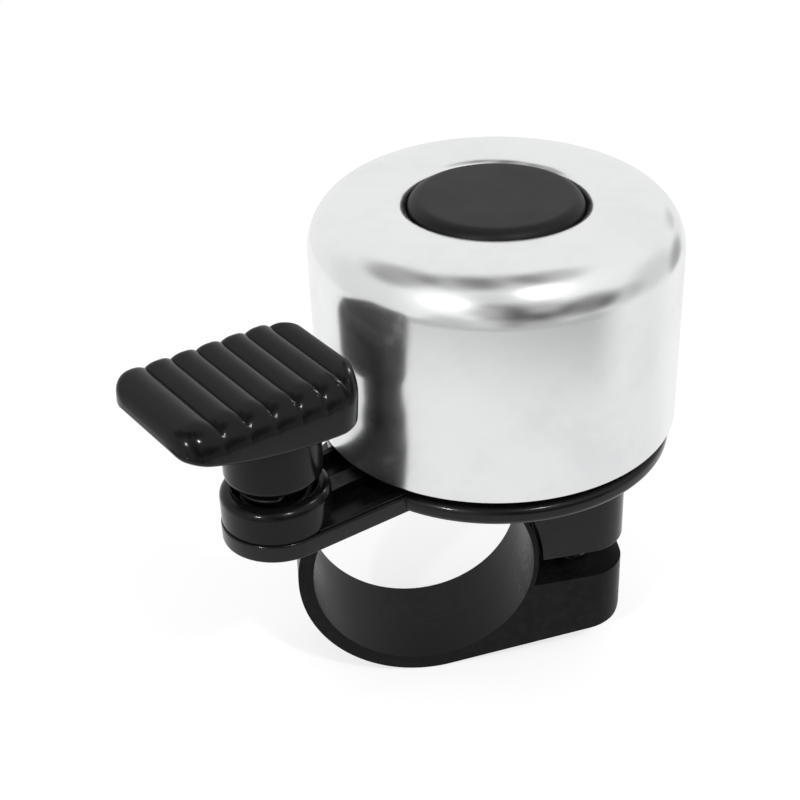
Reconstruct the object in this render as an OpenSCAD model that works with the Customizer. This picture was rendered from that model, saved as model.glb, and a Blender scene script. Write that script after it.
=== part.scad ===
// Thumb-lever bicycle bell on a split handlebar clamp.
// The origin is the centre of the clamp bore. +Y runs along the handlebar,
// +X points to the clamp screw and +Z points up to the dome.

/* [Handlebar clamp] */
// Diameter of the handlebar
bar_d = 22.2; // [20:0.1:26]
// Radial play between the handlebar and the bore
bar_play = 0.05; // [0:0.01:0.15]
// Width of the clamp along the handlebar
clamp_w = 11.4; // [9.6:0.2:14]
// Thickness of the strap under the handlebar
strap_t = 1.5; // [1.2:0.05:2.4]
// Angle of the strap's root, from +X towards +Z
strap_root_a = 125; // [112:1:150]
// Length of the lug from the bore wall to its end face
lug_l = 9.8; // [9:0.1:12]
// Radius of the upright corners at the lug's end
lug_corner_r = 3.6; // [1.5:0.1:4.4]
// Bevel of the lower edge at the lug's end
lug_bevel = 0.9; // [0.4:0.1:1.6]
// Rise of the lug's underside, in degrees
lug_rise = 11; // [7:0.5:14]
// Thickness of the lug above its washer
lug_seat_t = 3; // [2:0.1:3.4]
// Height of the slot between the clamp block and the lug
slot_h = 3; // [2:0.1:4]
// Depth of the slot's middle below the bore axis, at the clamp screw
slot_drop = 1.2; // [0:0.1:2]
// Rise of the slot, in degrees
slot_rise = 5.5; // [0:0.5:8]
// Thickness of the strap's tongue, which closes the bore behind the slot
tongue_t = 0.5; // [0.4:0.05:0.8]
// Angle of the tongue's end on the bore, from +X towards +Z
tongue_a = 30; // [22:1:45]
// Gap between the tongue and the clamp block
tongue_gap = 0.4; // [0.35:0.05:0.6]

/* [Clamp screw] */
// Thread diameter of the clamp screw
clamp_thread_d = 4; // [3:0.5:4]
// Head diameter of the clamp screw
clamp_head_d = 6.8; // [5.5:0.1:7]
// Head height of the clamp screw
clamp_head_h = 2.4; // [1.8:0.1:2.8]
// Outer diameter of the clamp washer
clamp_washer_d = 7.4; // [7:0.1:7.8]
// Thickness of the clamp washer
clamp_washer_t = 0.8; // [0.5:0.1:1]
// Size of the nut across its flats
nut_af = 7; // [5.5:0.5:7]
// Thickness of the nut
nut_t = 3.2; // [2.4:0.1:3.4]
// Thickness of the nut's closed top, which keeps water out of the bell
nut_top_t = 0.6; // [0.4:0.1:0.8]
// Room above the screw's tip inside the nut, for closing the clamp
screw_tip_room = 0.8; // [0.7:0.1:1]

/* [Base] */
// Wall between the bore and the underside of the base plate
saddle_t = 1.95; // [1.4:0.05:3]
// Thickness of the base plate at its edge
plate_t = 1.8; // [1.5:0.1:2.4]
// Thickness of the base plate's floor inside the dish
floor_t = 1; // [0.8:0.1:1.2]
// Step from the dome's wall in to the base ring
ring_inset = 0.5; // [0.2:0.1:0.7]
// Width of the base ring's wall
ring_wall = 1.6; // [1.2:0.1:1.8]
// Height of the base ring
ring_h = 1.9; // [1.8:0.1:2.4]
// Radius of the base ring's outer edges
ring_round = 0.6; // [0.2:0.1:0.7]
// Width of the arm where it would reach the dome axis
arm_w = 13.3; // [12:0.1:16]
// Thickness of the walls along the arm's trough
arm_wall = 0.7; // [0.5:0.05:0.8]
// Step from the arm's edge in to the trough wall
arm_step = 0.3; // [0.1:0.05:0.4]
// Height of the trough wall above the plate
arm_lip_h = 0.2; // [0.15:0.05:0.3]

/* [Dome] */
// Outer diameter of the dome
dome_d = 35; // [34:0.5:42]
// Height of the dome above its rim
dome_h = 22.3; // [20:0.1:26]
// Thickness of the dome's sheet
dome_wall = 1.3; // [1:0.1:1.4]
// Radius of the dome's shoulder
shoulder_r = 4.8; // [3:0.1:5.4]
// Radius of the curve from the dome's crest down to the cap recess
dome_lip_r = 5.5; // [4.5:0.1:8]
// Run of that curve, from the crest to the wall of the recess
dome_lip_run = 3.6; // [2.6:0.1:4.2]
// Diameter of the cap recess
recess_d = 16.7; // [16.6:0.1:18]
// Depth of the cap recess
recess_depth = 3.6; // [3.4:0.1:4.5]
// Distance from the handlebar axis to the dome axis
dome_shift = 8.15; // [7:0.05:9]
// Gap between the base ring and the dome's rim
rim_gap = 1; // [0.8:0.1:1.4]

/* [Dome fixing] */
// Diameter of the centre post
post_d = 6; // [5:0.2:6.6]
// Diameter of the post's spigot in the base
post_spigot_d = 4.4; // [3.6:0.1:4.8]
// Depth of the post's spigot in the base
post_spigot_l = 3; // [2:0.1:4]
// Diameter of the isolating bush under the dome
bush_d = 8.4; // [7:0.2:10]
// Thickness of the isolating bush
bush_t = 1; // [0.6:0.1:1.5]
// Thread diameter of the dome screw
dome_thread_d = 3.5; // [3:0.5:4]
// Length of the dome screw under its head
dome_screw_l = 9; // [7:0.5:12]
// Head diameter of the dome screw
dome_head_d = 6.4; // [5.6:0.1:7]
// Head height of the dome screw
dome_head_h = 1.5; // [1.2:0.1:1.6]
// Outer diameter of the dome washer
dome_washer_d = 8.8; // [8:0.2:11]
// Thickness of the dome washer
dome_washer_t = 0.6; // [0.4:0.1:0.7]

/* [Cap] */
// Diameter of the cap
cap_d = 16.4; // [15:0.1:16.4]
// Shell thickness of the cap
cap_wall = 0.9; // [0.6:0.1:1]
// Radius of the cap's upper edge
cap_round = 1.2; // [0.8:0.1:1.6]
// Depth of the cap's upper face below the top of the dome
cap_drop = 0.15; // [0:0.05:0.3]
// Height of the flange at the cap's foot
cap_foot_h = 0.7; // [0.5:0.1:1]

/* [Lever] */
// Distance from the dome's wall to the lever's axis
pivot_gap = 8.6; // [8.2:0.1:11]
// Bearing of the lever's axis seen from the dome axis, in degrees
pivot_bearing = 212.7; // [205:0.1:220]
// Outer diameter of the pivot cup
cup_d = 9.9; // [9.5:0.1:11]
// Height of the pivot cup above the plate
cup_h = 3.4; // [3:0.1:4.5]
// Wall thickness of the pivot cup
cup_wall = 1.1; // [1.05:0.05:1.2]
// Radius of the pivot cup's upper outer edge
cup_round = 0.9; // [0.4:0.1:1]
// Step from the base plate's edge in to the pivot cup
cup_step = 0.1; // [0.05:0.05:0.2]
// Diameter of the lever's column
column_d = 8.8; // [8.4:0.1:9.4]
// Gap between the pivot cup and the lever's column
column_gap = 1; // [0.6:0.1:1.6]
// Radius of the column's lower edge
column_round = 0.8; // [0.3:0.1:1]
// Diameter of the lever's neck inside the pivot cup
neck_d = 4.6; // [4.2:0.1:4.8]
// Side of the square spigot that carries the hammer arm
spigot_side = 4.2; // [3.8:0.1:4.3]
// Thickness of the flange above the hammer arm
hub_flange_t = 0.55; // [0.4:0.05:0.7]
// Thread diameter of the lever screw
lever_thread_d = 2.5; // [2:0.5:2.5]
// Depth of the lever screw in the column
lever_screw_l = 9; // [7:0.5:10]
// Head diameter of the lever screw
lever_head_d = 4.6; // [4:0.1:5]
// Head height of the lever screw
lever_head_h = 1; // [0.8:0.1:1.2]
// Outer diameter of the lever washer
lever_washer_d = 5.4; // [5:0.1:6]
// Thickness of the lever washer
lever_washer_t = 0.4; // [0.3:0.05:0.5]
// Thickness of the thrust washer under the spigot
thrust_t = 0.3; // [0.2:0.05:0.4]

/* [Paddle] */
// Height of the rib crests above the dome's rim, at the lever's axis
paddle_top_h = 14; // [13:0.1:16]
// Thickness of the paddle at its thickest
paddle_t = 5.2; // [4.8:0.05:6]
// Reach of the paddle outwards from the lever's axis
paddle_out = 11.2; // [10.8:0.1:13]
// Gap between the paddle and the dome's wall
paddle_gap = 1.6; // [1.4:0.1:2.2]
// Width of the paddle
paddle_w = 12.9; // [12:0.1:14]
// Shift of the paddle's middle away from the thumb's side
paddle_shift = 0.35; // [0:0.05:0.8]
// Slope of the paddle down towards the dome, in degrees
paddle_pitch = 2.5; // [0:0.5:4]
// Slope of the paddle down towards the thumb's side, in degrees
paddle_roll = 3.4; // [0:0.2:6]
// Radius of the paddle's curved underside
belly_r = 46; // [42:1:60]
// Radius of the paddle's corners beside the dome, in plan
paddle_corner_r = 3.2; // [2:0.1:4]
// Radius of the paddle's outer corners, in plan
nose_corner_r = 2.4; // [2:0.1:5]
// Radius of the paddle's long upper edge on the thumb's side
front_edge_r = 2.7; // [1.5:0.1:3]
// Radius of the paddle's long upper edge on the far side
back_edge_r = 1; // [0.6:0.1:2]
// Radius of the paddle's top where it falls to its outer end
nose_r = 2.4; // [2.3:0.1:3]
// Length of that fall
nose_run = 2.1; // [1.8:0.1:2.2]
// Number of ribs between the paddle's inner end and that fall
rib_count = 6; // [4:1:6]
// Distance from rib to rib
rib_pitch = 2.48; // [2.4:0.02:2.52]
// Radius of a rib's crest
rib_r = 1.75; // [1.5:0.05:2.4]

/* [Hammer] */
// Width of the hammer arm
strip_w = 2; // [1.6:0.1:2.2]
// Thickness of the hammer arm
strip_t = 0.8; // [0.6:0.1:0.8]
// Diameter of the hammer arm's eye
eye_d = 7.1; // [6.6:0.1:7.2]
// Diameter of the hammer
hammer_d = 4.4; // [4:0.1:5]
// Height of the hammer
hammer_h = 5; // [3:0.5:9]
// Gap between the hammer at rest and the dome's wall
hammer_gap = 1.3; // [1:0.1:1.6]
// Diameter of the hammer's rivet
rivet_d = 1.6; // [1.2:0.1:1.8]
// Diameter of the rivet's head
rivet_head_d = 2.8; // [2.4:0.1:2.8]
// Thickness of the rivet's head
rivet_head_t = 0.2; // [0.1:0.05:0.25]

/* [Return spring] */
// Wire diameter of the return spring
wire_d = 0.5; // [0.4:0.05:0.5]
// Number of turns of the return spring
spring_turns = 2.25; // [1.25:1:2.25]
// Rise of the spring in one turn
spring_pitch = 0.95; // [0.92:0.01:1]
// Length of the leg that hooks into the pivot cup
spring_leg = 2.5; // [2.4:0.1:2.7]

/* [Clearances] */
// Radial play of a running shaft
running_play = 0.05; // [0.02:0.01:0.1]
// Radial play of a seated or screwed fit
seat_play = 0.02; // [0.01:0.01:0.05]
// Play of a screw or washer in its clearance hole
free_play = 0.2; // [0.15:0.05:0.4]
// Running gap between parts that pass each other
pass_gap = 0.1; // [0.05:0.05:0.2]

/* [Hidden] */
$fn = 96;

// Overlap that joins two shapes of one piece
weld = 0.3;
// Depth of the cross recess in a screw head, as a share of the head
cross_share = 0.6;
// Angle below the bore's level at which the tongue joins the lug
pie_low_a = 30;
// Place of the first rib's crest from the paddle's inner end, in pitches
rib_start = 0.39;

// Clamp outline in the plane across the handlebar
bore_r = bar_d / 2 + bar_play;
band_r = bore_r + strap_t;
lug_turn = lug_rise - 90;
lug_x = bore_r + lug_l;
screw_x = bore_r + lug_l / 2;
far = 4 * band_r;
slot_half = slot_h / 2 / cos(slot_rise);
function slot_mid(x) = -slot_drop + (x - screw_x) * tan(slot_rise);
function slot_top(x) = slot_mid(x) + slot_half;
function slot_low(x) = slot_mid(x) - slot_half;
function lug_under(x) = -band_r / cos(lug_rise) + x * tan(lug_rise);
function polar(r, a) = [r * cos(a), r * sin(a)];

// Levels of the base and the dome
plate_z = bore_r + saddle_t;
floor_z = plate_z + floor_t;
plate_top_z = plate_z + plate_t;
ring_top_z = plate_z + ring_h;
rim_z = ring_top_z + rim_gap;
dome_r = dome_d / 2;
ring_r = dome_r - ring_inset;
dome_top_z = rim_z + dome_h;
recess_r = recess_d / 2;
recess_z = dome_top_z - recess_depth;
bush_z = recess_z - dome_wall - bush_t;
cap_top_z = dome_top_z - cap_drop;

// Levels of the clamp screw
washer_z = slot_low(screw_x) - lug_seat_t - clamp_washer_t;
nut_z = floor_z - nut_t - free_play;
nut_r = nut_af / 2 / cos(30);
nut_hole_z = nut_z + nut_t - nut_top_t;

// Place and levels of the lever
pivot_reach = dome_r + pivot_gap;
pivot_x = dome_shift + pivot_reach * cos(pivot_bearing);
pivot_y = pivot_reach * sin(pivot_bearing);
flange_r = cup_d / 2 + cup_step;
cup_r = cup_d / 2;
cup_in_r = cup_r - cup_wall;
cup_top_z = plate_top_z + cup_h;
spigot_z = floor_z + thrust_t + running_play;
strip_z = spigot_z + pass_gap;
hub_z = strip_z + strip_t;
neck_z = hub_z + hub_flange_t;
column_z = cup_top_z + column_gap;
paddle_z = rim_z + paddle_top_h;
paddle_in = pivot_gap - paddle_gap;
hammer_x = pivot_gap + dome_wall + hammer_gap + hammer_d / 2;
// The arm's end passes the base's ring as the hammer passes the dome's wall
strip_end_r = hammer_d / 2 - (ring_inset + ring_wall - dome_wall);
shaft_r = lever_thread_d / 2;
lever_washer_z = plate_z - running_play - lever_washer_t;

// Path of the return spring: a straight leg, the turns and an upright leg
coil_r = (neck_d / 2 + cup_in_r) / 2;
coil_z = neck_z + wire_d / 2 + pass_gap;
steps_per_turn = 16;
coil_steps = spring_turns * steps_per_turn;
coil_start_a = 150;
bend_r = wire_d;
function coil_point(i) = let (a = coil_start_a + 360 * i / steps_per_turn)
    [coil_r * cos(a), coil_r * sin(a), coil_z + spring_pitch * i / steps_per_turn];
function leg_point(s) = coil_point(0) + s * [sin(coil_start_a), -cos(coil_start_a), 0];
function bend_point(a) = let (e = coil_start_a + 360 * spring_turns, p = coil_point(coil_steps))
    p + bend_r * sin(a) * [-sin(e), cos(e), 0] + bend_r * (1 - cos(a)) * [0, 0, 1];
spring_top = bend_point(90) + [0, 0, column_z + wire_d - bend_point(90)[2]];
spring_path = [
    for (k = [2, 1]) leg_point(spring_leg * k / 2),
    for (i = [0 : coil_steps]) coil_point(i),
    for (a = [30, 60, 90]) bend_point(a),
    spring_top
];

function unit(v) = v / norm(v);
function tangent(path, i) =
    unit(path[min(i + 1, len(path) - 1)] - path[max(i - 1, 0)]);
function tube_ring(path, i, r, sides) = let (
        t = tangent(path, i),
        u = unit(cross(t, [path[i][0], path[i][1], 0])),
        v = cross(u, t)
    ) [for (k = [0 : sides - 1]) path[i] + r * (cos(360 * k / sides) * u + sin(360 * k / sides) * v)];

// Least gap between the spring's turns, measured on its path points
least_gap = min([
    for (i = [0 : coil_steps - 1])
        for (j = [i + steps_per_turn / 2 : 1 : coil_steps])
            norm(coil_point(i) - coil_point(j)) - wire_d
]);
echo(spring_least_gap_mm = least_gap);

// Round tube swept along a path, closed at both ends
module tube(path, r, sides) {
    points = [for (i = [0 : len(path) - 1]) each tube_ring(path, i, r, sides)];
    last = (len(path) - 1) * sides;
    walls = [
        for (i = [0 : len(path) - 2])
            for (k = [0 : sides - 1])
                let (a = i * sides + k, b = i * sides + (k + 1) % sides)
                    each [[a, b, b + sides], [a, b + sides, a + sides]]
    ];
    start_cap = [for (k = [1 : sides - 2]) [0, k + 1, k]];
    end_cap = [for (k = [1 : sides - 2]) [last, last + k, last + k + 1]];
    polyhedron(points = points, faces = concat(walls, start_cap, end_cap));
}

module at_dome() {
    translate([dome_shift, 0, 0]) children();
}

// Frame of the lever: its local +X points to the dome axis
module at_pivot() {
    translate([pivot_x, pivot_y, 0]) rotate([0, 0, pivot_bearing - 180]) children();
}

module at_clamp_screw() {
    translate([screw_x, 0, 0]) children();
}

// Profile in the plane across the handlebar, extruded along it
module across_bar(width) {
    rotate([90, 0, 0]) linear_extrude(height = width, center = true) children();
}

module disc(r, z0, z1) {
    translate([0, 0, z0]) cylinder(r = r, h = z1 - z0);
}

module washer(outer_r, inner_r, z0, t) {
    difference() {
        disc(outer_r, z0, z0 + t);
        disc(inner_r, z0 - weld, z0 + t + weld);
    }
}

// Screw with its head below: the head's top face is at z = 0
module headed_screw(thread_d, length, head_d, head_h) {
    recess_w = head_d / 6;
    difference() {
        union() {
            disc(head_d / 2, -head_h, 0);
            disc(thread_d / 2, -weld, length);
        }
        for (a = [0, 90]) {
            rotate([0, 0, a]) translate([-head_d / 3, -recess_w / 2, -head_h - weld])
                cube([head_d * 2 / 3, recess_w, head_h * cross_share + weld]);
        }
    }
}

// Quarter of a ring: dx and dy are the signs of its side
module quarter_ring(outer_r, t, dx, dy) {
    intersection() {
        difference() {
            circle(r = outer_r);
            circle(r = outer_r - t);
        }
        translate([min(0, dx) * outer_r, min(0, dy) * outer_r]) square(outer_r);
    }
}

module rect(x0, y0, x1, y1) {
    translate([x0, y0]) square([x1 - x0, y1 - y0]);
}

// Plan of the clamp, with two round corners at the lug's end
module clamp_plan() {
    half = clamp_w / 2;
    inner_x = lug_x - lug_corner_r;
    rect(-far, -half, inner_x, half);
    rect(-far, -half + lug_corner_r, lug_x, half - lug_corner_r);
    for (s = [-1, 1]) {
        translate([inner_x, s * (half - lug_corner_r)]) circle(r = lug_corner_r);
    }
}

module trim_to_clamp_plan(z0, z1) {
    intersection() {
        children();
        translate([0, 0, z0]) linear_extrude(height = z1 - z0) clamp_plan();
    }
}

// Pie slice of a circle, from the bore's lower side up to an angle
module pie(r, end_a) {
    intersection() {
        circle(r = r);
        polygon([[0, 0], polar(far, -pie_low_a), polar(far, 0), polar(far, end_a)]);
    }
}

// Section of the saddle and the clamp block above the slot
module saddle_profile() {
    root = polar(band_r, strap_root_a);
    difference() {
        polygon([
            [0, slot_top(0)],
            [lug_x, slot_top(lug_x)],
            [lug_x, plate_z + weld],
            [root[0], plate_z + weld],
            root,
            [0, 0]
        ]);
        circle(r = bore_r);
        pie(bore_r + tongue_t + tongue_gap, tongue_a + asin(2 * tongue_gap / bore_r));
    }
}

// Section of the lug below the slot, with a bevelled lower edge
module lug_profile() {
    polygon([
        [0, slot_low(0)],
        polar(band_r, lug_turn),
        [lug_x - lug_bevel, lug_under(lug_x - lug_bevel)],
        [lug_x, lug_under(lug_x) + lug_bevel],
        [lug_x, slot_low(lug_x)]
    ]);
}

module strap_profile() {
    root_a = strap_root_a + 2 * asin(running_play / bore_r);
    difference() {
        union() {
            difference() {
                circle(r = band_r);
                polygon([[0, slot_low(0)], [0, 0], polar(far, root_a), [far, far], [far, slot_low(far)]]);
            }
            lug_profile();
            pie(bore_r + tongue_t, tongue_a);
        }
        circle(r = bore_r);
    }
}

// Plan of the arm, drawn in the lever's frame and set in from its edge
module arm_plan(inset) {
    near_r = flange_r - inset;
    wide_r = arm_w / 2 - inset;
    lean = asin((wide_r - near_r) / pivot_reach);
    near = near_r * [-sin(lean), cos(lean)];
    wide = [pivot_reach, 0] + wide_r * [-sin(lean), cos(lean)];
    circle(r = near_r);
    polygon([near, wide, [wide[0], -wide[1]], [near[0], -near[1]]]);
}

module base_ring_profile() {
    inner_r = ring_r - ring_wall;
    core_r = ring_r - ring_round;
    rect(0, 0, core_r, floor_t);
    rect(inner_r, 0, core_r, ring_h);
    rect(core_r - weld, ring_round, ring_r, ring_h - ring_round);
    for (y = [ring_round, ring_h - ring_round]) {
        translate([core_r, y]) circle(r = ring_round);
    }
}

module base_plate() {
    color([0.05, 0.05, 0.055])
    difference() {
        union() {
            at_dome() translate([0, 0, plate_z]) rotate_extrude() base_ring_profile();
            intersection() {
                at_pivot() translate([0, 0, plate_z]) linear_extrude(height = plate_t) arm_plan(0);
                base_reach();
            }
            difference() {
                at_pivot() translate([0, 0, plate_z])
                    linear_extrude(height = plate_t + arm_lip_h) arm_plan(arm_step);
                at_pivot() disc(cup_r + seat_play, plate_top_z, rim_z);
                at_dome() disc(ring_r - ring_wall, plate_top_z, rim_z);
            }
            trim_to_clamp_plan(-far, far) across_bar(clamp_w) saddle_profile();
        }
        at_pivot() translate([0, 0, floor_z])
            linear_extrude(height = rim_z - floor_z) arm_plan(arm_step + arm_wall);
        at_dome() disc(ring_r - ring_wall, floor_z, rim_z);
        at_pivot() disc(shaft_r + running_play, plate_z - weld, floor_z + weld);
        at_dome() disc(post_spigot_d / 2 + seat_play, plate_z - post_spigot_l + floor_t, floor_z + weld);
        at_clamp_screw() disc(clamp_thread_d / 2 + 2 * free_play, -far, floor_z);
        at_clamp_screw() translate([0, 0, nut_z]) rotate([0, 0, 30])
            cylinder(r = nut_r + free_play / 2, h = floor_z - nut_z + weld, $fn = 6);
    }
}

// Space that the arm's plate may fill: up to the middle of the dish
module base_reach() {
    at_pivot() translate([-flange_r, -far, plate_z - weld]) cube([flange_r + pivot_reach, 2 * far, far]);
}

module pivot_cup() {
    slot_w = wire_d + 2 * pass_gap;
    round_x = cup_r - cup_round;
    color([0.06, 0.06, 0.065])
    at_pivot() difference() {
        translate([0, 0, plate_top_z]) rotate_extrude() {
            rect(cup_in_r, 0, cup_r, cup_h - cup_round);
            rect(cup_in_r, 0, round_x, cup_h);
            intersection() {
                translate([round_x, cup_h - cup_round]) circle(r = cup_round);
                rect(round_x, cup_h - cup_round, cup_r, cup_h);
            }
        }
        translate([0, -strip_w * 2, plate_top_z - weld])
            cube([cup_d, strip_w * 3, hub_z + free_play - plate_top_z + weld]);
        translate(leg_point(spring_leg / 2)) rotate([0, 0, coil_start_a - 90])
            translate([-pass_gap, -slot_w / 2, -slot_w / 2]) cube([spring_leg, slot_w, slot_w]);
    }
}

module clamp_strap() {
    color([0.045, 0.045, 0.05])
    difference() {
        trim_to_clamp_plan(-far, far) across_bar(clamp_w) strap_profile();
        at_clamp_screw() disc(clamp_thread_d / 2 + free_play, -far, far);
        at_clamp_screw() disc(clamp_washer_d / 2 + free_play, -far, washer_z + clamp_washer_t);
    }
}

module clamp_screw() {
    color("silver")
    at_clamp_screw() translate([0, 0, washer_z])
        headed_screw(clamp_thread_d, nut_hole_z - screw_tip_room - washer_z, clamp_head_d, clamp_head_h);
}

module clamp_washer() {
    color("lightgray")
    at_clamp_screw() washer(clamp_washer_d / 2, clamp_thread_d / 2 + running_play, washer_z, clamp_washer_t);
}

module clamp_nut() {
    color("lightgray")
    at_clamp_screw() difference() {
        translate([0, 0, nut_z]) rotate([0, 0, 30]) cylinder(r = nut_r, h = nut_t, $fn = 6);
        disc(clamp_thread_d / 2 + free_play, nut_z - weld, nut_hole_z);
    }
}

module centre_post() {
    color("silver")
    at_dome() difference() {
        union() {
            disc(post_d / 2, floor_z, bush_z);
            disc(post_spigot_d / 2, plate_z - post_spigot_l + floor_t, floor_z + weld);
        }
        disc(dome_thread_d / 2 + seat_play, recess_z + dome_washer_t - dome_screw_l - weld, bush_z + weld);
    }
}

module dome_bush() {
    color("ivory")
    at_dome() washer(bush_d / 2, dome_thread_d / 2 + running_play, bush_z, bush_t);
}

module dome_profile() {
    wall = dome_wall;
    lip_x = recess_r + dome_lip_run;
    lip_fall = dome_lip_r - sqrt(pow(dome_lip_r, 2) - pow(dome_lip_run, 2));
    shoulder = [dome_r - shoulder_r, dome_h - shoulder_r];
    rect(dome_r - wall, 0, dome_r, shoulder[1]);
    translate(shoulder) quarter_ring(shoulder_r, wall, 1, 1);
    rect(lip_x, dome_h - wall, shoulder[0], dome_h);
    intersection() {
        translate([lip_x, dome_h - dome_lip_r]) quarter_ring(dome_lip_r, wall, -1, 1);
        rect(recess_r, 0, lip_x + wall, dome_h + wall);
    }
    rect(recess_r, dome_h - recess_depth - wall, recess_r + wall, dome_h - lip_fall - weld);
    rect(dome_thread_d / 2 + free_play, dome_h - recess_depth - wall, recess_r + wall, dome_h - recess_depth);
}

module dome() {
    color([0.85, 0.86, 0.87])
    at_dome() translate([0, 0, rim_z]) rotate_extrude() dome_profile();
}

module dome_washer() {
    color("lightgray")
    at_dome() washer(dome_washer_d / 2, dome_thread_d / 2 + running_play, recess_z, dome_washer_t);
}

module dome_screw() {
    color("silver")
    at_dome() translate([0, 0, recess_z + dome_washer_t]) rotate([180, 0, 0])
        headed_screw(dome_thread_d, dome_screw_l, dome_head_d, dome_head_h);
}

module cap_profile() {
    r = cap_d / 2;
    h = cap_top_z - recess_z;
    difference() {
        union() {
            rect(0, 0, recess_r - running_play, cap_foot_h);
            rect(0, 0, r, h - cap_round);
            rect(0, 0, r - cap_round, h);
            translate([r - cap_round, h - cap_round]) circle(r = cap_round);
        }
        rect(-weld, -weld, r - cap_wall, h - cap_wall);
    }
}

module cap_button() {
    color([0.1, 0.1, 0.105])
    at_dome() translate([0, 0, recess_z]) rotate_extrude() cap_profile();
}

// Long section of the paddle, drawn below its crest line: ribs above, one wide curve below
module paddle_long_profile() {
    groove = rib_r - sqrt(rib_r * rib_r - rib_pitch * rib_pitch / 4);
    nose_x = nose_run - paddle_out;
    intersection() {
        union() {
            rect(nose_x, -paddle_t - weld, paddle_in, -groove - weld);
            translate([nose_x, -nose_r]) circle(r = nose_r);
            for (i = [0 : rib_count - 1]) {
                translate([paddle_in - (i + rib_start) * rib_pitch, -rib_r]) circle(r = rib_r);
            }
        }
        translate([column_d / 2, belly_r - paddle_t]) circle(r = belly_r, $fn = 256);
    }
}

// Cross section of the paddle, drawn below its crest line, with round upper edges
module paddle_cross_profile() {
    front = -paddle_w / 2;
    back = paddle_w / 2;
    low = -paddle_t - weld;
    rect(front, low, back - back_edge_r, -front_edge_r);
    rect(front + front_edge_r, low, back - back_edge_r, 0);
    rect(front + front_edge_r, low, back, -back_edge_r);
    translate([front + front_edge_r, -front_edge_r]) circle(r = front_edge_r);
    translate([back - back_edge_r, -back_edge_r]) circle(r = back_edge_r);
}

module paddle_plan() {
    half = paddle_w / 2;
    in_x = paddle_in - paddle_corner_r;
    out_x = nose_corner_r - paddle_out;
    rect(out_x, -half, in_x, half);
    rect(in_x - weld, paddle_corner_r - half, paddle_in, half - paddle_corner_r);
    rect(-paddle_out, nose_corner_r - half, out_x + weld, half - nose_corner_r);
    for (s = [-1, 1]) {
        translate([in_x, s * (half - paddle_corner_r)]) circle(r = paddle_corner_r);
        translate([out_x, s * (half - nose_corner_r)]) circle(r = nose_corner_r);
    }
}

// The paddle is what three outlines share; it leans from its crest point on the lever's axis
module paddle() {
    translate([0, paddle_shift, paddle_z]) rotate([paddle_roll, paddle_pitch, 0]) intersection() {
        rotate([90, 0, 0]) linear_extrude(height = paddle_w + weld, center = true) paddle_long_profile();
        translate([-paddle_out - weld, 0, 0]) rotate([90, 0, 90])
            linear_extrude(height = paddle_out + paddle_in + 2 * weld) paddle_cross_profile();
        translate([0, 0, -paddle_t - weld]) linear_extrude(height = paddle_t + 2 * weld) paddle_plan();
    }
}

module column_profile() {
    r = column_d / 2;
    top = paddle_z - paddle_t / 2 - column_z;
    rect(0, 0, r - column_round, top);
    rect(0, column_round, r, top);
    translate([r - column_round, column_round]) circle(r = column_round);
}

module thumb_lever() {
    color([0.07, 0.07, 0.07])
    at_pivot() difference() {
        union() {
            paddle();
            translate([0, 0, column_z]) rotate_extrude() column_profile();
            disc(neck_d / 2, hub_z, column_z + weld);
            disc(spigot_side / sqrt(2) + free_play, hub_z, neck_z);
            translate([-spigot_side / 2, -spigot_side / 2, spigot_z])
                cube([spigot_side, spigot_side, hub_z - spigot_z + weld]);
        }
        disc(shaft_r + seat_play, spigot_z - weld, plate_z + lever_screw_l + weld);
        translate([spring_top[0], spring_top[1], column_z - weld])
            cylinder(r = wire_d / 2 + pass_gap, h = wire_d + pass_gap + weld);
    }
}

module lever_screw() {
    color("silver")
    at_pivot() translate([0, 0, lever_washer_z])
        headed_screw(lever_thread_d, plate_z + lever_screw_l - lever_washer_z, lever_head_d, lever_head_h);
}

module lever_washer() {
    color("lightgray")
    at_pivot() washer(lever_washer_d / 2, shaft_r + seat_play, lever_washer_z, lever_washer_t);
}

module thrust_washer() {
    color("ivory")
    at_pivot() washer(eye_d / 2, shaft_r + running_play, floor_z, thrust_t);
}

module hammer_arm() {
    hole = spigot_side + 2 * seat_play;
    color("darkgray")
    at_pivot() translate([0, 0, strip_z]) linear_extrude(height = strip_t) difference() {
        union() {
            circle(r = eye_d / 2);
            rect(0, -strip_w / 2, hammer_x, strip_w / 2);
            translate([hammer_x, 0]) circle(r = strip_end_r);
        }
        square(hole, center = true);
        translate([hammer_x, 0]) circle(r = rivet_d / 2 + seat_play);
    }
}

module hammer_profile() {
    r = hammer_d / 2;
    edge = r / 3;
    difference() {
        union() {
            rect(0, 0, r - edge, hammer_h);
            rect(0, edge, r, hammer_h - edge);
            for (y = [edge, hammer_h - edge]) {
                translate([r - edge, y]) circle(r = edge);
            }
        }
        rect(-weld, -weld, rivet_d / 2 + seat_play, hammer_h / 2);
        rect(-hammer_d, -weld, 0, hammer_h + weld);
    }
}

module hammer() {
    color("gray")
    at_pivot() translate([hammer_x, 0, hub_z]) rotate_extrude() hammer_profile();
}

module hammer_rivet() {
    color("lightgray")
    at_pivot() translate([hammer_x, 0, 0]) {
        disc(rivet_head_d / 2, strip_z - rivet_head_t, strip_z);
        disc(rivet_d / 2, strip_z - rivet_head_t / 2, hub_z + hammer_h / 2 - seat_play);
    }
}

module return_spring() {
    color("silver")
    at_pivot() tube(spring_path, wire_d / 2, 6);
}

base_plate();
pivot_cup();
clamp_strap();
clamp_screw();
clamp_washer();
clamp_nut();
centre_post();
dome_bush();
dome();
dome_washer();
dome_screw();
cap_button();
thumb_lever();
lever_screw();
lever_washer();
thrust_washer();
hammer_arm();
hammer();
hammer_rivet();
return_spring();
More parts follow.
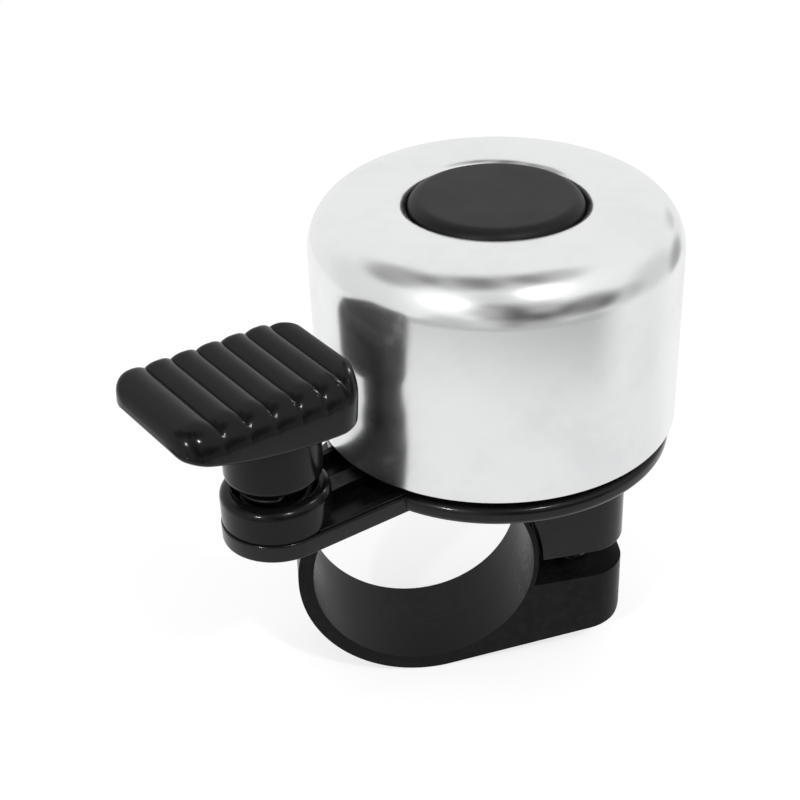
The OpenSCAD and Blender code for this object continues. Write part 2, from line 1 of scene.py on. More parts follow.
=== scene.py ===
"""Thumb-lever bicycle bell, dressed for a studio photograph.

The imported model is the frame. Each piece of the bell is rebuilt on the same datums as a
finished mesh, in millimetres, and scaled to metres when it becomes an object.
"""

from __future__ import annotations

import logging
import math
from dataclasses import dataclass
from enum import Enum
from typing import Any, Callable, NamedTuple, Sequence, Union

import bmesh
import bpy
from mathutils import Matrix, Vector

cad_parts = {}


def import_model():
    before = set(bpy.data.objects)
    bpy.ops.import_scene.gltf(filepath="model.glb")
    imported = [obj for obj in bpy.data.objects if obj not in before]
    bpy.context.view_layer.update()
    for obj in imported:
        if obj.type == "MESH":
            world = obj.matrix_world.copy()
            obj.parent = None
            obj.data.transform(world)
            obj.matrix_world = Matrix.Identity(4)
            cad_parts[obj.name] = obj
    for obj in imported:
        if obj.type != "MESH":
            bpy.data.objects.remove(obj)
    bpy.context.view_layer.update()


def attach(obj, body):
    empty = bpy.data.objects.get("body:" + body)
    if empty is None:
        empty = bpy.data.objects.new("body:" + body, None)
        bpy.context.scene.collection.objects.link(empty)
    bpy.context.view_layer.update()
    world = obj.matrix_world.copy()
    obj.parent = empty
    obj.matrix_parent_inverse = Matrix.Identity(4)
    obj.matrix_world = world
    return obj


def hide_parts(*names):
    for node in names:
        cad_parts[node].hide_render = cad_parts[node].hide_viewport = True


LOG = logging.getLogger("bell")
MM = 0.001
# A level past every piece, for cutters that go right through, and a margin past one face.
BEYOND = 40.0
PAST = 1.0
Flat = tuple[float, float]
Point = tuple[float, float, float]
Colour = tuple[float, float, float]


class Body(Enum):
    """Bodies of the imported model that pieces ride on."""

    BASE = "base"
    LEVER = "lever"
    STRAP = "strap"
    SCREW = "screw"


class Slot(Enum):
    """Material slots of the record."""

    BASE = "base_plastic"
    LEVER = "lever_plastic"
    CAP = "cap_plastic"
    DOME = "dome_metal"
    SCREW = "screw_steel"
    HAMMER = "hammer_steel"
    SPRING = "spring_steel"
    NYLON = "nylon"


class Socket:
    """One shader output, with arithmetic that adds Math nodes."""

    def __init__(self, graph: "Graph", output: bpy.types.NodeSocket | None) -> None:
        """Keep the output and the graph it belongs to; an end node has none."""
        self.graph = graph
        self.output = output

    def _math(self, operation: str, *terms: "Term") -> "Socket":
        """Add one Math node over the terms."""
        return self.graph.node("ShaderNodeMath", {"operation": operation}, dict(enumerate(terms)))

    def __add__(self, other: "Term") -> "Socket":
        """Sum."""
        return self._math("ADD", self, other)

    def __radd__(self, other: "Term") -> "Socket":
        """Sum, with the number first."""
        return self._math("ADD", other, self)

    def __sub__(self, other: "Term") -> "Socket":
        """Difference."""
        return self._math("SUBTRACT", self, other)

    def __rsub__(self, other: "Term") -> "Socket":
        """Difference, with the number first."""
        return self._math("SUBTRACT", other, self)

    def __mul__(self, other: "Term") -> "Socket":
        """Product."""
        return self._math("MULTIPLY", self, other)

    def __rmul__(self, other: "Term") -> "Socket":
        """Product, with the number first."""
        return self._math("MULTIPLY", other, self)

    def __abs__(self) -> "Socket":
        """Size without sign."""
        return self._math("ABSOLUTE", self)

    def highest(self, other: "Term") -> "Socket":
        """Larger of two values."""
        return self._math("MAXIMUM", self, other)

    def step(self, low: float, high: float) -> "Socket":
        """Soft step from 0 at low to 1 at high; falls where low is the larger."""
        return self.graph.node(
            "ShaderNodeMapRange",
            {"interpolation_type": "SMOOTHSTEP"},
            {"Value": self, "From Min": low, "From Max": high},
        )


Term = Union[Socket, float]


class Graph:
    """A node tree that is written as expressions."""

    def __init__(self, tree: bpy.types.NodeTree) -> None:
        """Start from an empty tree."""
        self.tree = tree
        tree.nodes.clear()

    @classmethod
    def of(cls, owner: bpy.types.Material | bpy.types.World) -> "Graph":
        """Emptied tree of a material or of the world."""
        owner.use_nodes = True
        return cls(owner.node_tree)

    def node(
        self,
        kind: str,
        settings: dict[str, Any] | None = None,
        sockets: dict[Any, Any] | None = None,
        out: int | str = 0,
    ) -> Socket:
        """Add any node.

        Args:
            kind: Blender's name of the node type.
            settings: Properties of the node, set before its sockets.
            sockets: Values or links by socket name or number.
            out: Output to hand back.

        Returns:
            The chosen output.
        """
        made = self.tree.nodes.new(kind)
        for name, value in (settings or {}).items():
            setattr(made, name, value)
        for key, value in (sockets or {}).items():
            if isinstance(value, Socket):
                self.tree.links.new(value.output, made.inputs[key])
            else:
                made.inputs[key].default_value = value
        return Socket(self, made.outputs[out] if len(made.outputs) else None)

    def place(self) -> Socket:
        """Position on the piece, in millimetres."""
        at = self.node("ShaderNodeTexCoord", out="Object")
        return self.stretch(at, (1 / MM, 1 / MM, 1 / MM))

    def vector(self, operation: str, *terms: Any, out: int | str = 0) -> Socket:
        """One Vector Math node over the terms."""
        return self.node("ShaderNodeVectorMath", {"operation": operation}, dict(enumerate(terms)), out)

    def stretch(self, at: Socket, scale: Point) -> Socket:
        """Position scaled along each axis."""
        return self.vector("MULTIPLY", at, scale)

    def axis(self, at: Socket, name: str) -> Socket:
        """One coordinate of a position."""
        return self.node("ShaderNodeSeparateXYZ", sockets={0: at}, out=name)

    def ray(self, name: str) -> Socket:
        """1 for light rays of one kind, 0 for the others."""
        return self.node("ShaderNodeLightPath", out=f"Is {name} Ray")

    def seen(self) -> Socket:
        """1 for rays of the camera, of mirrors and through glass; 0 for light that spreads."""
        return self.ray("Camera").highest(self.ray("Glossy")).highest(self.ray("Transmission"))

    def noise(self, at: Socket, scale: float, detail: float = 3.0, rough: float = 0.5) -> Socket:
        """Smooth noise between 0 and 1.

        Args:
            at: Position.
            scale: Patches per unit of length.
            detail: Number of finer layers.
            rough: Weight of the finer layers.

        Returns:
            The noise value.
        """
        return self.node(
            "ShaderNodeTexNoise",
            sockets={"Vector": at, "Scale": scale, "Detail": detail, "Roughness": rough},
        )

    def blend(self, share: Term, first: Any, second: Any) -> Socket:
        """Colour between two colours."""
        first, second = [c if isinstance(c, Socket) else (*c, 1.0) for c in (first, second)]
        return self.node("ShaderNodeMix", {"data_type": "RGBA"}, {0: share, 6: first, 7: second}, out=2)

    def bump(self, height: Socket, depth_mm: float, strength: float = 1.0) -> Socket:
        """Normal that follows a height between 0 and 1."""
        return self.node(
            "ShaderNodeBump",
            sockets={"Height": height, "Distance": depth_mm * MM, "Strength": strength},
        )


@dataclass(frozen=True)
class Finish:
    """A named surface of the bell."""

    name: str
    slot: Slot

    def draw(self, graph: Graph) -> Socket:
        """Draw the surface's shader; each finish has its own."""
        raise NotImplementedError

    def material(self) -> bpy.types.Material:
        """Give the material, made at its first use.

        Returns:
            The material of this finish.
        """
        found = bpy.data.materials.get(self.name)
        if found is not None:
            return found
        made = bpy.data.materials.new(self.name)
        graph = Graph.of(made)
        graph.node("ShaderNodeOutputMaterial", sockets={"Surface": self.draw(graph)})
        return made


@dataclass(frozen=True)
class MouldedPlastic(Finish):
    """Black or pale moulding with fine grain, cloudy gloss, rubbed edges and duller upper faces."""

    deep: Colour = (0.003, 0.003, 0.0031)
    pale: Colour = (0.007, 0.007, 0.0072)
    rough: float = 0.3
    gloss: float = 0.3
    polish: float = 0.0
    grain: float = 9.0
    grain_depth: float = 0.012
    speck: float = 0.0
    parting_y: float | None = None

    def draw(self, graph: Graph) -> Socket:
        """Draw grain, clouds, rubbed edges, specks and the mould's parting line.

        Args:
            graph: Tree to draw in.

        Returns:
            The shader.
        """
        at = graph.place()
        grain = graph.noise(at, self.grain, 4.0, 0.6)
        cloud = graph.noise(at, 0.22, 4.0, 0.55)
        worn = graph.node("ShaderNodeNewGeometry", out="Pointiness").step(0.53, 0.6)
        rubbed = worn * graph.noise(at, 1.3, 3.0).step(0.42, 0.62)
        height = grain
        tint = 0.55 * cloud + 0.45 * grain
        if self.speck > 0:
            dot = graph.node("ShaderNodeTexVoronoi", sockets={"Vector": at, "Scale": 2.1})
            dots = dot.step(0.16, 0.08) * graph.noise(at, 0.9).step(0.5, 0.62)
            height = height + self.speck * dots
            tint = tint + self.speck * dots
        if self.parting_y is not None:
            line = abs(graph.axis(at, "Y") - self.parting_y).step(0.13, 0.05)
            height = height + 0.9 * line
        upright = graph.axis(graph.node("ShaderNodeNewGeometry", out="Normal"), "Z").step(0.9, 0.5)
        colour = graph.blend(tint, self.deep, self.pale)
        rubbed_colour = tuple(min(1.0, 1.6 * c) for c in self.pale)
        return graph.node(
            "ShaderNodeBsdfPrincipled",
            sockets={
                "Base Color": graph.blend(rubbed * 0.6, colour, rubbed_colour),
                "Roughness": self.rough + 0.16 * (cloud - 0.5) + 0.1 * (grain - 0.5) - 0.06 * rubbed,
                "Specular IOR Level": self.gloss,
                "Coat Weight": self.polish * upright,
                "Coat Roughness": 0.12,
                "Normal": graph.bump(height, self.grain_depth, 0.6),
            },
        )


@dataclass(frozen=True)
class PolishedMetal(Finish):
    """Polished sheet metal, close to a mirror, with wiped smudges and hairlines."""

    bright: Colour = (0.9, 0.905, 0.91)
    dull: Colour = (0.8, 0.81, 0.82)
    rough: float = 0.17
    haze_rough: float = 0.5
    haze: float = 0.13

    def draw(self, graph: Graph) -> Socket:
        """Draw the mirror, its smudges and the fine lines of polishing.

        Args:
            graph: Tree to draw in.

        Returns:
            The shader.
        """
        at = graph.place()
        smudge = graph.noise(at, 0.11, 5.0, 0.62).step(0.42, 0.7)
        lines = graph.noise(graph.stretch(at, (0.5, 0.5, 7.0)), 2.0, 3.0)
        ripple = graph.noise(at, 0.16, 2.0)
        scratch = graph.noise(graph.stretch(at, (1.0, 1.0, 26.0)), 0.8, 2.0).step(0.66, 0.74)
        normal = graph.bump(0.8 * ripple + 0.02 * lines - 0.02 * scratch, 0.02, 0.5)
        colour = graph.blend(0.4 * smudge + 0.3 * scratch, self.bright, self.dull)
        fine = 0.04 * smudge + 0.03 * (lines - 0.5) + 0.04 * scratch
        mirror, veil = (
            graph.node(
                "ShaderNodeBsdfPrincipled",
                sockets={"Base Color": colour, "Metallic": 1.0, "Roughness": rough + fine, "Normal": normal},
            )
            for rough in (self.rough, self.haze_rough)
        )
        return graph.node("ShaderNodeMixShader", sockets={0: self.haze + 0.05 * smudge, 1: mirror, 2: veil})


@dataclass(frozen=True)
class WorkedSteel(Finish):
    """Turned, drawn or plated steel with tool lines and a little tarnish."""

    bright: Colour = (0.62, 0.63, 0.64)
    dull: Colour = (0.36, 0.36, 0.37)
    rough: float = 0.28
    lines: Point = (0.6, 0.6, 9.0)

    def draw(self, graph: Graph) -> Socket:
        """Draw tool lines, tarnish and rubbed edges.

        Args:
            graph: Tree to draw in.

        Returns:
            The shader.
        """
        at = graph.place()
        lines = graph.noise(graph.stretch(at, self.lines), 1.6, 4.0)
        stain = graph.noise(at, 0.5, 5.0, 0.6).step(0.4, 0.72)
        worn = graph.node("ShaderNodeNewGeometry", out="Pointiness").step(0.53, 0.62)
        return graph.node(
            "ShaderNodeBsdfPrincipled",
            sockets={
                "Base Color": graph.blend((stain * 0.8) * (1 - worn), self.bright, self.dull),
                "Metallic": 1.0,
                "Roughness": self.rough + 0.14 * stain + 0.12 * (lines - 0.5),
                "Normal": graph.bump(lines, 0.006, 0.5),
            },
        )


BASE_PLASTIC = MouldedPlastic("base_moulding", Slot.BASE, rough=0.24, gloss=0.1, polish=0.4)
STRAP_PLASTIC = MouldedPlastic("strap_moulding", Slot.BASE, rough=0.32, gloss=0.12, parting_y=0.0)
LEVER_PLASTIC = MouldedPlastic("lever_moulding", Slot.LEVER, rough=0.15, gloss=0.2, grain_depth=0.006)
CAP_PLASTIC = MouldedPlastic(
    "cap_moulding",
    Slot.CAP,
    deep=(0.005, 0.005, 0.005),
    pale=(0.012, 0.012, 0.012),
    rough=0.42,
    gloss=0.17,
    grain=7.0,
    grain_depth=0.03,
    speck=0.8,
)
NYLON = MouldedPlastic(
    "natural_nylon", Slot.NYLON, deep=(0.72, 0.71, 0.66), pale=(0.84, 0.83, 0.79), rough=0.45, gloss=0.5
)
DOME_METAL = PolishedMetal("dome_polish", Slot.DOME)
SCREW_STEEL = WorkedSteel("plated_steel", Slot.SCREW)
HAMMER_STEEL = WorkedSteel(
    "turned_steel", Slot.HAMMER, bright=(0.46, 0.47, 0.49), dull=(0.26, 0.26, 0.27), rough=0.36
)
SPRING_STEEL = WorkedSteel(
    "blackened_steel",
    Slot.SPRING,
    bright=(0.032, 0.032, 0.035),
    dull=(0.012, 0.012, 0.013),
    rough=0.4,
    lines=(5.0, 5.0, 0.8),
)


def arc(centre: Flat, radius: float, start: float, end: float, steps: int = 12) -> list[Flat]:
    """Points on an arc.

    Args:
        centre: Middle of the circle.
        radius: Its radius.
        start: First angle in degrees.
        end: Last angle in degrees.
        steps: Number of chords.

    Returns:
        The points from start to end.
    """
    angles = [math.radians(start + (end - start) * i / steps) for i in range(steps + 1)]
    return [(centre[0] + radius * math.cos(a), centre[1] + radius * math.sin(a)) for a in angles]


def quarter(corner: Flat, radius: float, start: float, steps: int = 12) -> list[Flat]:
    """Quarter round inside a corner.

    Args:
        corner: Corner that the round takes off.
        radius: Radius of the round.
        start: First angle in degrees: -90 at the lower right, 0, 90 and 180 at the next corners.
        steps: Number of chords.

    Returns:
        The points, anticlockwise.
    """
    middle = math.radians(start + 45)
    x = corner[0] - math.copysign(radius, math.cos(middle))
    y = corner[1] - math.copysign(radius, math.sin(middle))
    return arc((x, y), radius, start, start + 90, steps)


def hexagon(across: float) -> list[Flat]:
    """Six-sided outline, by its width across the flats."""
    return arc((0, 0), across / math.sqrt(3), 30, 330, 5)


def round_off(radius: float, past: float) -> float:
    """Drop of a round edge at a distance past its start; nothing before it."""
    return radius - math.sqrt(max(radius**2 - max(past, 0.0) ** 2, 0.0))


def towards(azimuth: float, elevation: float) -> Vector:
    """Direction from the bell; azimuth 0 points to the front, both in degrees."""
    a, e = math.radians(azimuth), math.radians(elevation)
    return Vector((math.sin(a) * math.cos(e), -math.cos(a) * math.cos(e), math.sin(e)))


def put_in_scene(name: str, data: bpy.types.ID) -> bpy.types.Object:
    """Make an object of a mesh, a lamp or a camera and link it to the scene.

    Args:
        name: Name of the object.
        data: What it shows.

    Returns:
        The object.
    """
    obj = bpy.data.objects.new(name, data)
    bpy.context.scene.collection.objects.link(obj)
    return obj


class Solid:
    """A closed mesh in millimetres that is joined, cut and rounded into a piece."""

    def __init__(self, points: Sequence[Sequence[float]], faces: Sequence[Sequence[int]]) -> None:
        """Make the mesh with its faces turned outwards.

        Args:
            points: Corners in millimetres.
            faces: Corner numbers of each face.
        """
        mesh = bpy.data.meshes.new("solid")
        mesh.from_pydata([tuple(p) for p in points], [], [tuple(f) for f in faces])
        work = bmesh.new()
        work.from_mesh(mesh)
        bmesh.ops.remove_doubles(work, verts=work.verts, dist=1e-5)
        bmesh.ops.recalc_face_normals(work, faces=work.faces)
        work.to_mesh(mesh)
        work.free()
        self.obj = put_in_scene("solid", mesh)

    @classmethod
    def lathe(cls, profile: Sequence[Flat], steps: int = 96) -> "Solid":
        """Turn a closed profile about the Z axis.

        Args:
            profile: Radius and height of each corner, in order.
            steps: Number of sides round the axis.

        Returns:
            The turned solid.
        """
        points: list[Point] = []
        rows: list[list[int]] = []
        for r, z in profile:
            count = 1 if r < 1e-6 else steps
            rows.append([len(points) + j % count for j in range(steps)])
            for j in range(count):
                a = 2 * math.pi * j / steps
                points.append((r * math.cos(a), r * math.sin(a), z))
        faces = []
        for row, after in zip(rows, rows[1:] + rows[:1]):
            for j in range(steps):
                k = (j + 1) % steps
                ring = list(dict.fromkeys((row[j], row[k], after[k], after[j])))
                if len(ring) > 2:
                    faces.append(ring)
        return cls(points, faces)

    @classmethod
    def prism(cls, outline: Sequence[Flat], low: float, high: float) -> "Solid":
        """Raise an outline along Z from low to high."""
        return cls.loft([[(x, y, z) for x, y in outline] for z in (low, high)])

    @classmethod
    def slab(cls, outline: Sequence[Flat], width: float) -> "Solid":
        """Raise an outline of X and Z along Y, centred on it."""
        return cls.loft([[(x, y, z) for x, z in outline] for y in (-width / 2, width / 2)])

    @classmethod
    def loft(cls, sections: Sequence[Sequence[Sequence[float]]]) -> "Solid":
        """Join sections of equal length into one skin, closed at both ends.

        Args:
            sections: Closed rows of points, in order.

        Returns:
            The lofted solid.
        """
        count = len(sections[0])
        points = [p for row in sections for p in row]
        faces: list[Sequence[int]] = [range(count), range(len(points) - count, len(points))]
        for i in range(len(sections) - 1):
            for j in range(count):
                a, b = i * count + j, i * count + (j + 1) % count
                faces.append((a, b, b + count, a + count))
        return cls(points, faces)

    @classmethod
    def tube(cls, path: Sequence[Vector], section: Sequence[Flat]) -> "Solid":
        """Sweep a section along a path that winds about the Z axis.

        Args:
            path: Points of the path.
            section: Offsets across the path: away from the Z axis, and up.

        Returns:
            The swept solid.
        """
        rows = []
        for i, point in enumerate(path):
            along = (path[min(i + 1, len(path) - 1)] - path[max(i - 1, 0)]).normalized()
            out = Vector((point.x, point.y, 0.0)).normalized()
            up = along.cross(out).normalized()
            out = up.cross(along)
            rows.append([point + out * u + up * v for u, v in section])
        return cls.loft(rows)

    def _apply(self, kind: str, **settings: Any) -> "Solid":
        """Run one modifier and keep its result as the mesh.

        Args:
            kind: Blender's name of the modifier type.
            **settings: Its properties.

        Returns:
            This solid.
        """
        worker = self.obj.modifiers.new("work", kind)
        for name, value in settings.items():
            setattr(worker, name, value)
        bpy.context.view_layer.update()
        graph = bpy.context.evaluated_depsgraph_get()
        made = bpy.data.meshes.new_from_object(self.obj.evaluated_get(graph))
        old = self.obj.data
        self.obj.modifiers.clear()
        self.obj.data = made
        bpy.data.meshes.remove(old)
        return self

    def _combine(self, operation: str, others: Sequence["Solid"]) -> "Solid":
        """Run one exact boolean per other solid and use the others up.

        Args:
            operation: Blender's name of the boolean.
            others: Solids to combine with.

        Returns:
            This solid.
        """
        for other in others:
            self._apply("BOOLEAN", operation=operation, solver="EXACT", object=other.obj)
            mesh = other.obj.data
            bpy.data.objects.remove(other.obj)
            bpy.data.meshes.remove(mesh)
        return self

    def join(self, *others: "Solid") -> "Solid":
        """Grow by other solids."""
        return self._combine("UNION", others)

    def cut(self, *others: "Solid") -> "Solid":
        """Take other solids away."""
        return self._combine("DIFFERENCE", others)

    def keep(self, *others: "Solid") -> "Solid":
        """Keep only what lies inside the other solids."""
        return self._combine("INTERSECT", others)

    def soften(self, width: float, segments: int = 3, angle: float = 35.0) -> "Solid":
        """Round the edges that are sharper than an angle in degrees."""
        return self._apply(
            "BEVEL",
            width=width,
            segments=segments,
            limit_method="ANGLE",
            angle_limit=math.radians(angle),
            miter_outer="MITER_ARC",
        )

    def move(self, matrix: Matrix) -> "Solid":
        """Carry the mesh to another place."""
        self.obj.data.transform(matrix)
        return self

    def piece(self, name: str, finish: Finish, body: Body, node: str, angle: float = 38.0) -> None:
        """Turn the solid into a dressed piece of the bell.

        Args:
            name: Name of the piece.
            finish: Its surface.
            body: Body that it rides on.
            node: Node of the frame that it stands for.
            angle: Edges sharper than this stay crisp, in degrees.
        """
        obj = self.obj
        obj.name = obj.data.name = name
        obj.data.transform(Matrix.Scale(MM, 4))
        obj.data.polygons.foreach_set("use_smooth", [True] * len(obj.data.polygons))
        obj.data.set_sharp_from_angle(angle=math.radians(angle))
        obj.data.materials.clear()
        obj.data.materials.append(finish.material())
        even = obj.modifiers.new("even_normals", "WEIGHTED_NORMAL")
        even.keep_sharp = True
        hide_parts(node)
        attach(obj, body.value)
        LOG.info("%s rides %s in %s, %d faces", name, body.value, finish.name, len(obj.data.polygons))


@dataclass(frozen=True)
class Datums:
    """Levels and axes that all pieces share, from the middle of the clamp's bore."""

    bore_r: float = 11.15
    band_r: float = 12.65
    clamp_w: float = 11.4
    lug_x: float = 20.95
    lug_corner: float = 3.6
    screw_x: float = 16.05
    nut_z: float = 10.7
    slot_h: float = 3.0
    slot_drop: float = 1.2
    slot_rise: float = 5.5
    slot_rounds: int = 40
    tongue_t: float = 0.5
    tongue_angle: float = 30.0
    tongue_gap: float = 0.4
    plate_z: float = 13.1
    floor_z: float = 14.1
    plate_top_z: float = 14.9
    ring_top_z: float = 15.0
    rim_z: float = 16.0
    dome_x: float = 8.15
    dome_r: float = 17.5
    recess_z: float = 34.7
    pivot_reach: float = 26.1
    pivot_bearing: float = 32.7
    hub_z: float = 15.35

    def at_dome(self) -> Matrix:
        """Place of the dome's axis."""
        return Matrix.Translation((self.dome_x, 0, 0))

    def at_pivot(self) -> Matrix:
        """Place of the lever's axis; its X points to the dome's axis.

        Returns:
            The place.
        """
        turn = math.radians(self.pivot_bearing)
        x = self.dome_x - self.pivot_reach * math.cos(turn)
        y = -self.pivot_reach * math.sin(turn)
        return Matrix.Translation((x, y, 0)) @ Matrix.Rotation(turn, 4, "Z")

    def at_screw(self) -> Matrix:
        """Place of the clamp screw's axis."""
        return Matrix.Translation((self.screw_x, 0, 0))

    def slot_edge(self, x: float, side: int) -> float:
        """Height of one face of the slot.

        Args:
            x: Place along the slot.
            side: 1 for the upper face, -1 for the lower.

        Returns:
            The face's level at x.
        """
        slope = math.radians(self.slot_rise)
        half = self.slot_h / 2 / math.cos(slope)
        return -self.slot_drop + (x - self.screw_x) * math.tan(slope) + side * half

    def slot_angle(self, side: int, radius: float) -> float:
        """Angle where a face of the slot crosses a circle about the bore.

        Args:
            side: 1 for the upper face, -1 for the lower.
            radius: Radius of the circle.

        Returns:
            The angle in degrees.
        """
        angle = 0.0
        for _ in range(self.slot_rounds):
            angle = math.asin(self.slot_edge(radius * math.cos(angle), side) / radius)
        return math.degrees(angle)

    def clamp_plan(self) -> Solid:
        """Upright prism right through the clamp, round at the lug's end.

        Returns:
            The prism.
        """
        half, r = self.clamp_w / 2, self.lug_corner
        outline = [(-1.5 * BEYOND, half), (-1.5 * BEYOND, -half)]
        outline += quarter((self.lug_x, -half), r, -90) + quarter((self.lug_x, half), r, 0)
        return Solid.prism(outline, -BEYOND, BEYOND)


def disc(radius: float, low: float, high: float, steps: int = 64) -> Solid:
    """Plain round cutter about the Z axis."""
    return Solid.lathe([(0, low), (radius, low), (radius, high), (0, high)], steps)


def box(low: Sequence[float], high: Sequence[float]) -> Solid:
    """Plain square cutter between two corners."""
    outline = [(low[0], low[1]), (high[0], low[1]), (high[0], high[1]), (low[0], high[1])]
    return Solid.prism(outline, low[2], high[2])


@dataclass
class MachineScrew:
    """Round-headed screw with a cross recess; the head hangs below z = 0.

    The crown is in shares of the head's height and radius, the recess in shares of its diameter and
    height, and the thread in shares of its pitch.
    """

    thread_d: float
    length: float
    head_d: float
    head_h: float
    pitch: float
    crown: Flat = (0.42, 0.3)
    edge: float = 0.12
    tip: float = 0.3
    recess: Point = (1 / 3, 1 / 12, 0.6)
    recess_taper: Flat = (0.7, 0.75)
    recess_past: float = 0.2
    turn_steps: int = 36
    root_sink: float = 0.06
    thread_depth: float = 0.5
    thread_start: float = 0.7
    thread_ends: float = 1.6
    crest: float = 0.06
    flank: float = 0.46

    def build(self) -> Solid:
        """Turn the head and the core, wind the thread and cut the recess.

        Returns:
            The screw, standing on its head.
        """
        r, h, top = self.head_d / 2, self.head_h, self.length
        core = self.thread_d / 2 - self.thread_depth * self.pitch
        e = min(self.crown[0] * h, self.crown[1] * r)
        profile = [(0.0, -h)] + quarter((r, -h), e, -90, 8) + quarter((r, 0.0), self.edge, 0, 3)
        profile += [(core, 0.0), (core, top - self.tip), (core - self.tip, top), (0.0, top)]
        screw = Solid.lathe(profile, 72).join(self.thread(core))
        wide, thin, deep = self.recess[0] * self.head_d, self.recess[1] * self.head_d, self.recess[2] * h
        mouth = (wide, thin, -h - self.recess_past)
        floor = (wide * self.recess_taper[0], thin * self.recess_taper[1], -h + deep)
        for turn in (0.0, 90.0):
            bar = Solid.loft([[(-x, -y, z), (x, -y, z), (x, y, z), (-x, y, z)] for x, y, z in (mouth, floor)])
            screw.cut(bar.move(Matrix.Rotation(math.radians(turn), 4, "Z")))
        return screw

    def thread(self, core: float) -> Solid:
        """Wind the thread's ridge round the core.

        Args:
            core: Radius of the screw's core.

        Returns:
            The ridge, sunk a little into the core.
        """
        root = core - self.root_sink
        path = []
        turns = self.length / self.pitch - self.thread_ends
        for i in range(int(turns * self.turn_steps) + 1):
            a = 2 * math.pi * i / self.turn_steps
            z = self.thread_start * self.pitch + self.pitch * i / self.turn_steps
            path.append(Vector((root * math.cos(a), root * math.sin(a), z)))
        depth = self.thread_d / 2 - root
        crest, half = self.crest * self.pitch, self.flank * self.pitch
        return Solid.tube(path, [(0.0, -half), (depth, -crest), (depth, crest), (0.0, half)])


def ring_washer(outer: float, inner: float, low: float, thick: float, share: float = 0.22) -> Solid:
    """Flat washer with pressed, slightly round edges.

    Args:
        outer: Outer radius.
        inner: Radius of its hole.
        low: Level of its lower face.
        thick: Thickness.
        share: Radius of its outer edges, as a share of the thickness.

    Returns:
        The washer about the Z axis.
    """
    e, top = share * thick, low + thick
    profile = quarter((outer, low), e, -90, 5) + quarter((outer, top), e, 0, 5)
    profile += quarter((inner, top), e / 2, 90, 3) + quarter((inner, low), e / 2, 180, 3)
    return Solid.lathe(profile, 96)


